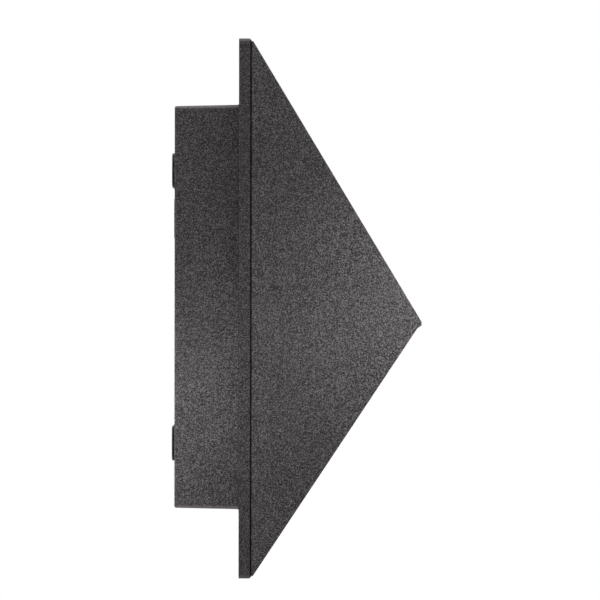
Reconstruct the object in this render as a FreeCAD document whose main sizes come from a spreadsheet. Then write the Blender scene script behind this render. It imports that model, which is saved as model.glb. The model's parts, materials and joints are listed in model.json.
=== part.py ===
# Wall pack light with a shallow back box, a hinged wedge-shaped front and a glass-covered LED
# module in its lower slope. Millimetres. The wall is the plane y = 0, the light shines towards -Y,
# +Z is up, and the origin is the centre of the four wall screws.
import FreeCAD, Part

import math
import os
import re

import Sketcher

Vector = FreeCAD.Vector
RIGHT_ANGLE = math.pi / 2

# Driving sizes: alias, value, what it is. Lengths are in millimetres and angles in degrees.
SIZES = (
    ("flange_wide", "360", "front casting, side to side"),
    ("flange_high", "375", "front casting, bottom to top"),
    ("flange_thick", "8.0", "rim frame, rear to front"),
    ("flange_back", "46.8", "wall to the rear face of the rim frame"),
    ("flange_drop", "1.0", "rim centre below the box centre"),
    ("flange_corner", "2.8", "corner radius of the rim seen from the front"),
    ("seam_gap", "0.8", "gap between rim frame and front casting"),
    ("frame_round", "0.6", "rounding of the rim frame's outer edges"),
    ("nose_reach", "118.2", "front casting, seam to nose"),
    ("nose_drop", "9.2", "nose below the rim centre"),
    ("lip_drop", "2.6", "height of the drip lip's front face"),
    ("lip_run", "2.0", "height over which the lip falls back to the slope"),
    ("lip_round", "1.1", "rounding of the lip"),
    ("edge_round", "0.7", "rounding of the front casting's outer edges"),
    ("slope_wall", "3.5", "wall of the two slopes"),
    ("side_wall", "5.0", "wall of the two sides"),
    ("window_side", "4", "captive screws' tubes to the opening in the rim frame"),
    ("window_end", "22.7", "box's top and bottom to that opening"),
    ("window_corner", "16", "corner radius of that opening"),
    ("pad_stand", "2.0", "thickness of the wall pads"),
    ("pad_radius", "12.3", "wall pad"),
    ("pad_round", "1.2", "rounded rim of a wall pad"),
    ("wall_screw_hole", "3.25", "bore radius of a wall pad"),
    ("wall_screw_slack", "0.25", "radius that the box's own holes add"),
    ("mount_wide", "200", "wall screws, side to side"),
    ("mount_high", "190", "wall screws, bottom to top"),
    ("box_wide", "290", "back box at its open front"),
    ("box_high", "281.4", "back box at its open front"),
    ("box_corner", "3.0", "corner radius of the box"),
    ("box_edge", "1.4", "rounding of the box's rear edges"),
    ("box_draft", "1.23", "casting draft of the box walls"),
    ("box_wall", "3.0", "box walls and floor"),
    ("seal_gap", "0.5", "gap between box rim and rim frame"),
    ("seal_wide", "4.0", "door seal"),
    ("seal_deep", "2.0", "groove that holds the door seal"),
    ("frame_seal_inset", "2.0", "seam gasket behind the outer edge"),
    ("frame_seal_wide", "4.0", "seam gasket"),
    ("hinge_out", "6.5", "hinge axis beside the box wall"),
    ("hinge_rear", "5.0", "hinge axis behind the rim frame"),
    ("hinge_height", "85", "hinges above and below the box centre"),
    ("knuckle_radius", "4.25", "hinge knuckles"),
    ("knuckle_long", "10", "each box knuckle"),
    ("door_knuckle_half", "5.7", "half of a door knuckle"),
    ("knuckle_gap", "0.3", "gap between knuckles"),
    ("pin_radius", "2.0", "hinge pin"),
    ("pin_play", "0.06", "radial running clearance in the door knuckle"),
    ("pin_head", "3.2", "head radius of a hinge pin"),
    ("pin_head_thick", "1.5", "head of a hinge pin"),
    ("captive_inset", "13", "captive screws inside the box's outer wall"),
    ("captive_end", "14.7", "captive screws inside the box's top and bottom"),
    ("captive_radius", "3.0", "shank of a captive screw"),
    ("captive_slack", "0.6", "radial room round the shank in the door"),
    ("captive_boss", "8.0", "radius of the tubes and bosses for these screws"),
    ("captive_seat", "18.4", "seam to the seat of the screw head"),
    ("captive_web", "6.0", "web between seat and retainer bore"),
    ("captive_well", "6.5", "radius of the well over the screw head"),
    ("captive_grip", "10", "length of the shank in the box's boss"),
    ("captive_head", "5.0", "head radius"),
    ("captive_head_thick", "4.5", "head height"),
    ("captive_socket", "2.9", "corner radius of the hexagon socket"),
    ("captive_socket_deep", "2.7", "hexagon socket"),
    ("boss_front", "2.3", "box rim to the front of a captive screw's boss"),
    ("boss_slack", "0.5", "radial room round the shank in that boss"),
    ("boss_room", "2.0", "depth of that boss past the screw's tip"),
    ("retainer_radius", "5.5", "retaining ring on the shank"),
    ("retainer_thick", "1.0", "retaining ring on the shank"),
    ("retainer_gap", "0.6", "seam to the retaining ring"),
    ("seam_screw_radius", "2.0", "screws that join rim frame and front casting"),
    ("seam_screw_head", "4.0", "their countersunk head radius"),
    ("seam_screw_long", "16", "their length"),
    ("seam_screw_inset", "8.5", "side screws inside the rim's outer edge"),
    ("seam_screw_height", "95", "side screws above and below the rim centre"),
    ("seam_screw_x", "60", "top and bottom screws beside the middle"),
    ("seam_screw_end", "29.5", "top and bottom screws inside the rim's outer edge"),
    ("seam_boss_radius", "5.5", "bosses for the seam screws"),
    ("seam_boss_long", "12.5", "bosses for the seam screws"),
    ("screw_room", "0.5", "depth of a blind screw hole past the screw's tip"),
    ("module_rise", "120", "rim corner to the LED module's centre, along the slope"),
    ("bezel_wide", "238", "glass bezel across the light"),
    ("bezel_high", "140", "glass bezel up the slope"),
    ("bezel_corner", "12", "corner radius of the bezel"),
    ("bezel_thick", "2.4", "bezel sheet"),
    ("bezel_deep", "2.4", "slope surface to the bezel's face"),
    ("bezel_frame", "14", "visible border of the bezel"),
    ("bezel_play", "0.3", "gap all round the bezel in its recess"),
    ("glass_lap", "6", "bezel over glass, all round"),
    ("glass_thick", "4.0", "glass"),
    ("glass_play", "0.5", "gap all round the glass"),
    ("glass_corner", "6", "corner radius of the glass"),
    ("glass_seal_wide", "5", "gasket under the glass"),
    ("glass_seal_thick", "1.5", "gasket under the glass"),
    ("tray_deep", "25", "slope surface to the back of the LED platform"),
    ("platform_thick", "4.0", "LED platform"),
    ("tray_wall", "3.0", "wall round the bezel recess"),
    ("fin_thick", "2.4", "cooling fins behind the platform"),
    ("fin_deep", "18", "cooling fins behind the platform"),
    ("fin_pitch", "24", "cooling fins"),
    ("fin_low", "40", "fins below the module's centre"),
    ("fin_high", "34", "fins above the module's centre"),
    ("board_wide", "200", "LED board"),
    ("board_high", "88", "LED board"),
    ("board_low", "6", "LED board below the module's centre"),
    ("board_corner", "3", "corner radius of the LED board"),
    ("board_screw_inset", "4", "board screws inside the board's edge"),
    ("board_thick", "1.6", "LED board"),
    ("thermal_thick", "0.5", "thermal pad"),
    ("optic_wide", "190", "moulded lens plate"),
    ("optic_high", "72", "moulded lens plate"),
    ("optic_thick", "3.0", "moulded lens plate"),
    ("optic_corner", "4", "corner radius of the moulded lens plate"),
    ("dome_radius", "6.4", "one moulded lens at its foot"),
    ("dome_high", "3.6", "one moulded lens"),
    ("dome_root", "0.5", "one moulded lens, sunk in its plate"),
    ("led_pitch_x", "18.2", "LEDs across"),
    ("led_pitch_y", "18.0", "LEDs up the slope"),
    ("chip_side", "3.5", "LED package"),
    ("chip_thick", "0.8", "LED package"),
    ("chip_corner", "0.45", "corner radius of an LED package"),
    ("chip_room", "0.5", "room round a package under its lens"),
    ("small_screw_radius", "1.5", "bezel and board screws"),
    ("small_screw_head", "2.9", "bezel and board screws"),
    ("small_screw_head_thick", "1.9", "bezel and board screws"),
    ("bezel_screw_long", "9", "bezel screws under the head"),
    ("board_screw_long", "4.5", "board screws under the head"),
    ("bezel_screw_inset", "4.6", "bezel screws inside the bezel's edge"),
    ("bezel_screw_x", "82", "outer screws of the bezel's top and bottom beside the middle"),
    ("gland_up", "48", "lead bushing above the module's centre"),
    ("gland_radius", "5.0", "hole for the lead bushing"),
    ("gland_flange", "7.5", "flange radius of the lead bushing"),
    ("gland_flange_thick", "1.6", "flange of the lead bushing"),
    ("stand_high", "6.0", "stand-offs on the box floor"),
    ("stand_radius", "4.5", "stand-offs on the box floor"),
    ("device_screw_radius", "2.0", "screws that hold the devices"),
    ("device_screw_head", "3.8", "screws that hold the devices"),
    ("device_screw_head_thick", "2.6", "screws that hold the devices"),
    ("device_screw_slack", "0.2", "radial room in the devices' own holes"),
    ("wall_boss_radius", "10", "floor bosses round the wall screws"),
    ("wall_boss_high", "2.0", "floor bosses round the wall screws"),
    ("driver_long", "168", "driver case"),
    ("driver_high", "64", "driver case"),
    ("driver_thick", "28", "driver case"),
    ("driver_corner", "4", "driver case"),
    ("driver_drop", "62", "driver below the box centre"),
    ("driver_cap", "3.0", "plastic end caps of the driver"),
    ("bracket_long", "198", "driver bracket"),
    ("bracket_high", "40", "driver bracket"),
    ("bracket_thick", "1.5", "driver bracket"),
    ("bracket_screw_x", "93", "bracket screws beside the middle"),
    ("bracket_screw_z", "13", "bracket screws above and below the driver's centre"),
    ("device_rise", "24", "terminal block and surge protector above the box centre"),
    ("device_side", "62", "terminal block and surge protector beside the middle"),
    ("foot_thick", "3.0", "feet of these two devices"),
    ("block_long", "50", "terminal block"),
    ("block_foot_long", "70", "terminal block's foot"),
    ("block_high", "24", "terminal block"),
    ("block_thick", "20", "terminal block"),
    ("block_screw_x", "30", "terminal block's foot screws"),
    ("pole_pitch", "15", "terminal block's poles"),
    ("pole_rise", "4.8", "terminal screws above and below the block's centre"),
    ("pole_well", "2.4", "radius of the well over a terminal screw"),
    ("pole_well_deep", "5", "well over a terminal screw"),
    ("pole_screw", "2.3", "radius of a terminal screw"),
    ("pole_screw_thick", "3", "terminal screw"),
    ("inlet_wide", "7", "wire inlet of a terminal"),
    ("inlet_high", "6.4", "wire inlet of a terminal"),
    ("inlet_deep", "4", "wire inlet of a terminal"),
    ("inlet_level", "9.2", "stand-offs to the middle of the wire inlets"),
    ("surge_long", "42", "surge protector"),
    ("surge_foot_long", "62", "surge protector's foot"),
    ("surge_high", "28", "surge protector"),
    ("surge_thick", "22", "surge protector"),
    ("surge_screw_x", "26", "surge protector's foot screws"),
    ("entry_rise", "62", "supply entry above the box centre"),
    ("entry_radius", "11", "hole in the box for the supply bushing"),
    ("entry_flange", "14", "flange radius of the supply bushing"),
    ("entry_flange_thick", "2.0", "flanges of the supply bushing"),
    ("entry_bore", "6.0", "bore radius of the supply bushing"),
    ("ground_side", "112", "ground screw beside the middle"),
    ("ground_drop", "4", "ground screw below the box centre"),
    ("ground_head", "5.0", "corner radius of the ground screw's head"),
    ("ground_head_thick", "3.2", "ground screw's head"),
    ("lead_radius", "2.6", "LED lead's jacket"),
    ("wire_radius", "1.2", "supply wires between terminal block and driver"),
    ("lead_level", "26", "wall to the leads that leave the driver"),
    ("lead_side", "113", "LED lead's crossing beside the middle"),
    ("lead_end_gap", "0.3", "box rim to the end of the box's part of the LED lead"),
    ("lead_door_run", "34", "first run of the LED lead in the door"),
    ("lead_gland_run", "26", "last run of the LED lead, square to its bushing"),
    ("wire_spacing", "3.2", "supply wires from one to the next"),
    ("wire_out", "17", "driver's end to the middle wire's upward run"),
    ("wire_turn", "15", "terminal block to the middle wire's crossing"),
    ("wire_entry", "3.5", "wires inside the terminal block"),
)

ALIASES = tuple(alias for alias, _, _ in SIZES)
ALIAS_WORD = re.compile(r"\b(" + "|".join(ALIASES) + r")\b")

doc = FreeCAD.newDocument("wall_pack_light")
sheet = doc.addObject("Spreadsheet::Sheet", "Sizes")
for row, (alias, number, note) in enumerate(SIZES, start=1):
    sheet.set(f"A{row}", alias)
    sheet.set(f"B{row}", number)
    sheet.set(f"C{row}", note)
    sheet.setAlias(f"B{row}", alias)
doc.recompute()

# Lengths that several pieces share, as formulas of the driving sizes.
SEAM = "(flange_back + flange_thick + seam_gap)"
BOX_RIM = "(flange_back - seal_gap)"
FLOOR = "(pad_stand + box_wall)"
STAND_TOP = f"({FLOOR} + stand_high)"
HALF = "(flange_high / 2)"
UPPER_ANGLE = f"atan(nose_reach / ({HALF} + nose_drop))"
LOWER_ANGLE = f"atan(nose_reach / ({HALF} - nose_drop))"
CAPTIVE_X = "(box_wide / 2 - captive_inset)"
CAPTIVE_Z = "(box_high / 2 - captive_end)"
WINDOW_WIDE = f"(2 * ({CAPTIVE_X} - captive_boss - window_side))"
WINDOW_HIGH = "(box_high - 2 * window_end)"
HINGE_X = "(box_wide / 2 + hinge_out)"
HINGE_Y = "(flange_back - hinge_rear)"
GLASS_FACE = "(bezel_deep + bezel_thick)"
SEAL_FACE = f"({GLASS_FACE} + glass_thick)"
LEDGE = f"({SEAL_FACE} + glass_seal_thick)"
PLATFORM = "(tray_deep - platform_thick)"
BOARD_BACK = f"({PLATFORM} - thermal_thick)"
BOARD_FACE = f"({BOARD_BACK} - board_thick)"
OPTIC_FACE = f"({BOARD_FACE} - optic_thick)"
GLASS_WIDE = "(bezel_wide - 2 * bezel_frame + 2 * glass_lap)"
GLASS_HIGH = "(bezel_high - 2 * bezel_frame + 2 * glass_lap)"
CHAMBER_WIDE = f"({GLASS_WIDE} - 2 * glass_seal_wide)"
CHAMBER_HIGH = f"({GLASS_HIGH} - 2 * glass_seal_wide)"

# What a cutting or joining tool runs past the face it meets, in mm, and what counts as touching.
PAST = "1"
TOUCH = 0.01

# Counts and arrangements.
LED_COLUMNS = 10
LED_ROWS = 4
FIN_COUNT = 9
BOTH = (-1, 1)
CORNERS = tuple((x, z) for x in BOTH for z in BOTH)


def formula(text):
    """The text of a size formula with each alias pointing at the sheet."""
    return ALIAS_WORD.sub(r"Sizes.\1", str(text))


def value(text):
    """The present value of a size formula."""
    result = sheet.evalExpression(formula(text))
    return float(getattr(result, "Value", result))


def bind(thing, **formulas):
    """Bind properties to formulas. A double underscore in a name stands for a dot."""
    for name, text in formulas.items():
        thing.setExpression(name.replace("__", "."), formula(text))


def place(thing, x="0", y="0", z="0", axis=None, angle=None):
    """Bind where a piece stands, and a turn about one axis if it has one."""
    if axis is not None:
        thing.Placement = FreeCAD.Placement(Vector(), FreeCAD.Rotation(Vector(*axis), value(angle)))
        bind(thing, Placement__Rotation__Angle=angle)
    bind(thing, Placement__Base__x=x, Placement__Base__y=y, Placement__Base__z=z)
    return thing


def on_module(thing):
    """Stand a piece on the LED module's axes: local Z points out of the lower slope."""
    return place(
        thing,
        y=f"-({SEAM} + module_rise * sin({LOWER_ANGLE}))",
        z=f"-flange_drop - {HALF} + module_rise * cos({LOWER_ANGLE})",
        axis=(1, 0, 0),
        angle=f"90 deg + {LOWER_ANGLE}",
    )


# Sketches and bodies.
def origin_plane(body, role):
    return next(item for item in body.Origin.OriginFeatures if item.Role == role)


def sketch_on(body, name, role, offset="0"):
    sketch = body.newObject("Sketcher::SketchObject", name)
    sketch.AttachmentSupport = [(origin_plane(body, role), "")]
    sketch.MapMode = "FlatFace"
    bind(sketch, AttachmentOffset__Base__z=offset)
    return sketch


def dimension(sketch, constraint, text):
    index = sketch.addConstraint(constraint)
    name = f"size{index}"
    sketch.renameConstraint(index, name)
    sketch.setExpression(f"Constraints.{name}", formula(text))


def fix_point(sketch, line, end, x, y):
    """Tie one end of a line to a place given by two formulas."""
    for kind, axis, text in (("DistanceX", -2, x), ("DistanceY", -1, y)):
        if abs(value(text)) < 1e-9:
            sketch.addConstraint(Sketcher.Constraint("PointOnObject", line, end, axis))
        else:
            constraint = Sketcher.Constraint(kind, -1, 1, line, end, value(text))
            dimension(sketch, constraint, text)


def draw_polygon(sketch, corners):
    points = [Vector(value(x), value(y), 0) for x, y in corners]
    first = sketch.GeometryCount
    lines = [Part.LineSegment(a, b) for a, b in zip(points, points[1:] + points[:1])]
    sketch.addGeometry(lines, False)
    for index in range(len(lines)):
        following = first + (index + 1) % len(lines)
        sketch.addConstraint(Sketcher.Constraint("Coincident", first + index, 2, following, 1))
    for index, (x, y) in enumerate(corners):
        fix_point(sketch, first + index, 1, x, y)


def draw_circle(sketch, radius, x="0", y="0"):
    circle = Part.Circle(Vector(value(x), value(y), 0), Vector(0, 0, 1), value(radius))
    index = sketch.addGeometry(circle, False)
    dimension(sketch, Sketcher.Constraint("Radius", index, value(radius)), radius)
    fix_point(sketch, index, 3, x, y)


def draw_rounded(sketch, wide, high, corner, x="0", y="0"):
    """A rectangle with round corners, drawn counter-clockwise from its bottom side."""
    half_wide, half_high, radius = value(wide) / 2, value(high) / 2, value(corner)
    left, right = value(x) - half_wide, value(x) + half_wide
    low, top = value(y) - half_high, value(y) + half_high

    def line(x0, y0, x1, y1):
        return Part.LineSegment(Vector(x0, y0, 0), Vector(x1, y1, 0))

    def arc(centre_x, centre_y, quarter):
        circle = Part.Circle(Vector(centre_x, centre_y, 0), Vector(0, 0, 1), radius)
        return Part.ArcOfCircle(circle, quarter * RIGHT_ANGLE, (quarter + 1) * RIGHT_ANGLE)

    first = sketch.GeometryCount
    shapes = [
        line(left + radius, low, right - radius, low),
        arc(right - radius, low + radius, -1),
        line(right, low + radius, right, top - radius),
        arc(right - radius, top - radius, 0),
        line(right - radius, top, left + radius, top),
        arc(left + radius, top - radius, 1),
        line(left, top - radius, left, low + radius),
        arc(left + radius, low + radius, 2),
    ]
    sketch.addGeometry(shapes, False)
    constraint = Sketcher.Constraint
    for index in range(len(shapes)):
        following = first + (index + 1) % len(shapes)
        sketch.addConstraint(constraint("Tangent", first + index, 2, following, 1))
    for level in (0, 4):
        sketch.addConstraint(constraint("Horizontal", first + level))
    for upright in (2, 6):
        sketch.addConstraint(constraint("Vertical", first + upright))
    for other in (3, 5, 7):
        sketch.addConstraint(constraint("Equal", first + 1, first + other))
    dimension(sketch, constraint("DistanceX", first + 6, 1, first + 2, 1, value(wide)), wide)
    dimension(sketch, constraint("DistanceY", first, 1, first + 4, 1, value(high)), high)
    dimension(sketch, constraint("Radius", first + 1, radius), corner)
    dimension(sketch, constraint("DistanceX", -1, 1, first + 2, 1, right), f"({x}) + ({wide}) / 2")
    dimension(sketch, constraint("DistanceY", -1, 1, first + 4, 1, top), f"({y}) + ({high}) / 2")


def extrude(body, kind, name, sketch, length, reverse=False, middle=False, taper=None):
    """Add a Pad or Pocket of a sketch to a body."""
    feature = body.newObject(f"PartDesign::{kind}", name)
    feature.Profile = sketch
    bind(feature, Length=length)
    feature.Reversed = reverse
    if middle:
        feature.SideType = "Symmetric"
    if taper is not None:
        bind(feature, TaperAngle=taper)
    doc.recompute()
    return feature


def round_edges(body, name, base, radius, chosen):
    """Fillet the edges of a feature that a test chooses."""
    fillet = body.newObject("PartDesign::Fillet", name)
    names = [f"Edge{i}" for i, edge in enumerate(base.Shape.Edges, start=1) if chosen(edge)]
    fillet.Base = (base, names)
    bind(fillet, Radius=radius)
    doc.recompute()
    return fillet


def plate(label, plane, start, thick, outline, window=None, holes=()):
    """A flat plate with an optional window and round holes, as one padded sketch."""
    body = doc.addObject("PartDesign::Body", label)
    sketch = sketch_on(body, f"{label}_outline", plane, start)
    draw_rounded(sketch, *outline)
    if window:
        draw_rounded(sketch, *window)
    for radius, x, y in holes:
        draw_circle(sketch, radius, x, y)
    extrude(body, "Pad", f"{label}_sheet", sketch, thick)
    return body


# Primitives and booleans.
TURNS = {
    "+Z": ((0, 0, 1), "0"),
    "-Z": ((1, 0, 0), "180"),
    "+Y": ((1, 0, 0), "-90"),
    "-Y": ((1, 0, 0), "90"),
    "+X": ((0, 1, 0), "90"),
    "-X": ((0, 1, 0), "-90"),
}


def rod(label, radius, length, start, towards):
    """A cylinder from a starting point towards a direction."""
    cylinder = doc.addObject("Part::Cylinder", label)
    bind(cylinder, Radius=radius, Height=length)
    axis, angle = TURNS[towards]
    return place(cylinder, *start, axis=axis, angle=angle)


def cone(label, start_radius, end_radius, length, start, towards):
    shape = doc.addObject("Part::Cone", label)
    bind(shape, Radius1=start_radius, Radius2=end_radius, Height=length)
    axis, angle = TURNS[towards]
    return place(shape, *start, axis=axis, angle=angle)


def hexagon(label, corner_radius, length, start, towards):
    prism = doc.addObject("Part::Prism", label)
    prism.Polygon = 6
    bind(prism, Circumradius=corner_radius, Height=length)
    axis, angle = TURNS[towards]
    return place(prism, *start, axis=axis, angle=angle)


def block(label, across, along, up):
    """A box between two formulas on each axis."""
    shape = doc.addObject("Part::Box", label)
    sides = zip(("Length", "Width", "Height"), (across, along, up))
    bind(shape, **{side: f"({high}) - ({low})" for side, (low, high) in sides})
    return place(shape, across[0], along[0], up[0])


def fuse(label, pieces):
    joined = doc.addObject("Part::MultiFuse", label)
    joined.Shapes = list(pieces)
    doc.recompute()
    return joined


def cut(label, base, tools):
    """Subtract every tool from a base."""
    tools = list(tools)
    tool = tools[0]
    if len(tools) > 1:
        tool = fuse(f"{label}_openings", tools)
    left = doc.addObject("Part::Cut", label)
    left.Base = base
    left.Tool = tool
    doc.recompute()
    return left


def overlap_of(label, base, tool):
    shared = doc.addObject("Part::Common", label)
    shared.Base = base
    shared.Tool = tool
    doc.recompute()
    return shared


def group(label, pieces):
    """Separate solids that share one node."""
    gathered = doc.addObject("Part::Compound", label)
    gathered.Links = list(pieces)
    doc.recompute()
    return gathered


# Places that several pieces share, as (x, z) formulas.
WALL_SCREWS = tuple((f"{x} * mount_wide / 2", f"{z} * mount_high / 2") for x, z in CORNERS)
CAPTIVE_SCREWS = tuple((f"-{CAPTIVE_X}", f"{z} * {CAPTIVE_Z}") for z in BOTH)
SEAM_SCREWS = tuple(
    (f"{x} * (flange_wide / 2 - seam_screw_inset)", f"{z} * seam_screw_height - flange_drop")
    for x, z in CORNERS
) + tuple(
    (f"{x} * seam_screw_x", f"{z} * ({HALF} - seam_screw_end) - flange_drop") for x, z in CORNERS
)
BRACKET_SCREWS = tuple(
    (f"{x} * bracket_screw_x", f"{z} * bracket_screw_z - driver_drop") for x, z in CORNERS
)
BLOCK_SCREWS = tuple((f"-device_side + {x} * block_screw_x", "device_rise") for x in BOTH)
SURGE_SCREWS = tuple((f"device_side + {x} * surge_screw_x", "device_rise") for x in BOTH)
GROUND_SCREW = ("-ground_side", "-ground_drop")

# Places on the LED module, as (x, y) formulas of its own axes.
BEZEL_X = "(bezel_wide / 2 - bezel_screw_inset)"
BEZEL_Y = "(bezel_high / 2 - bezel_screw_inset)"
BEZEL_SCREWS = tuple(
    (f"{x} * {BEZEL_X}", f"{y} * ({BEZEL_Y} - bezel_corner - bezel_screw_inset)") for x, y in CORNERS
) + tuple((f"{x} * bezel_screw_x", f"{y} * {BEZEL_Y}") for x in (-1, 0, 1) for y in BOTH)
BOARD_X = "(board_wide / 2 - board_screw_inset)"
BOARD_Y = "(board_high / 2 - board_screw_inset)"
BOARD_SCREWS = tuple(
    (f"{x} * {BOARD_X}", f"{y} * {BOARD_Y} - board_low") for x in (-1, 0, 1) for y in BOTH
)


def pan_screw(label, radius, head, head_thick, length, start, towards, away):
    """A screw whose shank runs towards one direction and whose head stands away from it."""
    shank = rod(f"{label}_shank", radius, length, start, towards)
    cap = rod(f"{label}_head", head, head_thick, start, away)
    return fuse(label, [shank, cap])


# Back box.
def make_back_box():
    body = doc.addObject("PartDesign::Body", "box_casting")
    outline = sketch_on(body, "box_outline", "XZ_Plane", BOX_RIM)
    draw_rounded(outline, "box_wide", "box_high", "box_corner")
    shell = extrude(
        body, "Pad", "box_form", outline, f"{BOX_RIM} - pad_stand", reverse=True, taper="-box_draft"
    )
    rear = -value("pad_stand")
    round_edges(
        body, "box_rear_edges", shell, "box_edge", lambda edge: abs(edge.BoundBox.YMin - rear) < TOUCH
    )
    inside = sketch_on(body, "box_inside", "XZ_Plane", BOX_RIM)
    draw_rounded(inside, "box_wide - 2 * box_wall", "box_high - 2 * box_wall", "box_corner")
    extrude(body, "Pocket", "box_cavity", inside, f"{BOX_RIM} - {FLOOR}", taper="-box_draft")

    added = [body]
    holes = []
    inside_floor = f"-({FLOOR} - {PAST})"
    boss_tip = f"({BOX_RIM} - boss_front)"
    for number, (x, z) in enumerate(CAPTIVE_SCREWS):
        length = f"{boss_tip} - {FLOOR} + {PAST}"
        added.append(rod(f"captive_boss{number}", "captive_boss", length, (x, inside_floor, z), "-Y"))
        rib = block(
            f"captive_rib{number}",
            ("-box_wide / 2 + box_wall / 2", x),
            (f"-{boss_tip}", inside_floor),
            (f"({z}) - box_wall / 2", f"({z}) + box_wall / 2"),
        )
        added.append(rib)
        radius = "captive_radius + boss_slack"
        start = (x, f"-{boss_tip}", z)
        holes.append(rod(f"captive_bore{number}", radius, "captive_grip + boss_room", start, "+Y"))
    for number, (x, z) in enumerate(WALL_SCREWS):
        start = (x, inside_floor, z)
        length = f"wall_boss_high + {PAST}"
        added.append(rod(f"wall_boss{number}", "wall_boss_radius", length, start, "-Y"))
        radius = "wall_screw_hole + wall_screw_slack"
        length = f"{FLOOR} + wall_boss_high + {PAST}"
        holes.append(rod(f"wall_hole{number}", radius, length, (x, "0", z), "-Y"))
    stands = BRACKET_SCREWS + BLOCK_SCREWS + SURGE_SCREWS + (GROUND_SCREW,)
    for number, (x, z) in enumerate(stands):
        start = (x, inside_floor, z)
        added.append(rod(f"stand{number}", "stand_radius", f"stand_high + {PAST}", start, "-Y"))
        start = (x, f"-{STAND_TOP}", z)
        holes.append(rod(f"stand_hole{number}", "device_screw_radius", "stand_high", start, "+Y"))
    for side in BOTH:
        for part in BOTH:
            low = f"{side} * hinge_height + {part} * (door_knuckle_half + knuckle_gap)"
            low = f"{low} - {(1 - part) // 2} * knuckle_long"
            name = f"ear{side}{part}".replace("-", "m")
            start = (HINGE_X, f"-{HINGE_Y}", low)
            added.append(rod(f"{name}_knuckle", "knuckle_radius", "knuckle_long", start, "+Z"))
            web = block(
                f"{name}_web",
                ("box_wide / 2 - box_wall", HINGE_X),
                (f"-{HINGE_Y} - knuckle_radius", f"-{HINGE_Y} + knuckle_radius"),
                (low, f"{low} + knuckle_long"),
            )
            added.append(web)
    start = (HINGE_X, f"-{HINGE_Y}", "-box_high / 2")
    holes.append(rod("hinge_bores", "pin_radius", "box_high", start, "+Z"))
    start = ("0", "0", "entry_rise")
    holes.append(rod("entry_hole", "entry_radius", f"{FLOOR} + {PAST}", start, "-Y"))
    return cut("back_box", fuse("box_with_bosses", added), holes)


def make_mounting_pads():
    """Four domed discs that hold the box off the wall, one round each wall screw."""
    pads = []
    for number, (x, z) in enumerate(WALL_SCREWS):
        body = doc.addObject("PartDesign::Body", f"pad{number}")
        sketch = sketch_on(body, f"pad{number}_circle", "XZ_Plane")
        draw_circle(sketch, "pad_radius", x, z)
        draw_circle(sketch, "wall_screw_hole", x, z)
        disc = extrude(body, "Pad", f"pad{number}_disc", sketch, "pad_stand")
        rim = value("pad_radius") - TOUCH

        def is_rim(edge):
            return abs(edge.BoundBox.YMax) < TOUCH and edge.BoundBox.XLength > 2 * rim

        round_edges(body, f"pad{number}_round", disc, "pad_round", is_rim)
        pads.append(body)
    return group("mounting_pads", pads)


def make_supply_bushing():
    """Rubber bushing that lines the supply entry, flanged on both sides of the box floor."""
    at = ("0", f"-{FLOOR} - entry_flange_thick", "entry_rise")
    inner = rod("bushing_inner", "entry_flange", "entry_flange_thick", at, "+Y")
    neck = rod("bushing_neck", "entry_radius", "box_wall", ("0", f"-{FLOOR}", "entry_rise"), "+Y")
    outer_at = ("0", "-pad_stand", "entry_rise")
    outer = rod("bushing_outer", "entry_flange", "pad_stand / 2", outer_at, "+Y")
    length = f"{FLOOR} + entry_flange_thick + {PAST}"
    bore = rod("bushing_bore", "entry_bore", length, ("0", "0", "entry_rise"), "-Y")
    return cut("supply_bushing", fuse("bushing_form", [inner, neck, outer]), [bore])


# Driver and the devices on the box floor.
def make_driver():
    bracket = plate(
        "driver_bracket",
        "XZ_Plane",
        STAND_TOP,
        "bracket_thick",
        ("bracket_long", "bracket_high", "driver_corner", "0", "-driver_drop"),
        holes=[("device_screw_radius + device_screw_slack", x, z) for x, z in BRACKET_SCREWS],
    )
    seat = f"({STAND_TOP} + bracket_thick)"
    case = plate(
        "driver_case",
        "XZ_Plane",
        seat,
        "driver_thick",
        ("driver_long", "driver_high", "driver_corner", "0", "-driver_drop"),
    )
    caps = []
    for side in BOTH:
        ends = (f"{side} * driver_long / 2", f"{side} * (driver_long / 2 + driver_cap)")
        caps.append(
            block(
                f"driver_cap{(side + 1) // 2}",
                ends[::side],
                (f"-{seat} - driver_thick", f"-{seat}"),
                ("-driver_drop - driver_high / 2", "-driver_drop + driver_high / 2"),
            )
        )
    return [bracket, case, group("driver_end_caps", caps)]


def make_device(label, side, long, foot_long, high, thick, screws):
    """A moulded device with a foot at each end, on two stand-offs."""
    low, top = f"device_rise - {high} / 2", f"device_rise + {high} / 2"
    foot = block(
        f"{label}_foot",
        (f"{side} - {foot_long} / 2", f"{side} + {foot_long} / 2"),
        (f"-{STAND_TOP} - foot_thick", f"-{STAND_TOP}"),
        (low, top),
    )
    case = block(
        f"{label}_case",
        (f"{side} - {long} / 2", f"{side} + {long} / 2"),
        (f"-{STAND_TOP} - {thick}", f"-{STAND_TOP}"),
        (low, top),
    )
    radius = "device_screw_radius + device_screw_slack"
    length = f"{STAND_TOP} + foot_thick + {PAST}"
    holes = [
        rod(f"{label}_hole{number}", radius, length, (x, "0", z), "-Y")
        for number, (x, z) in enumerate(screws)
    ]
    return foot, case, holes


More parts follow.
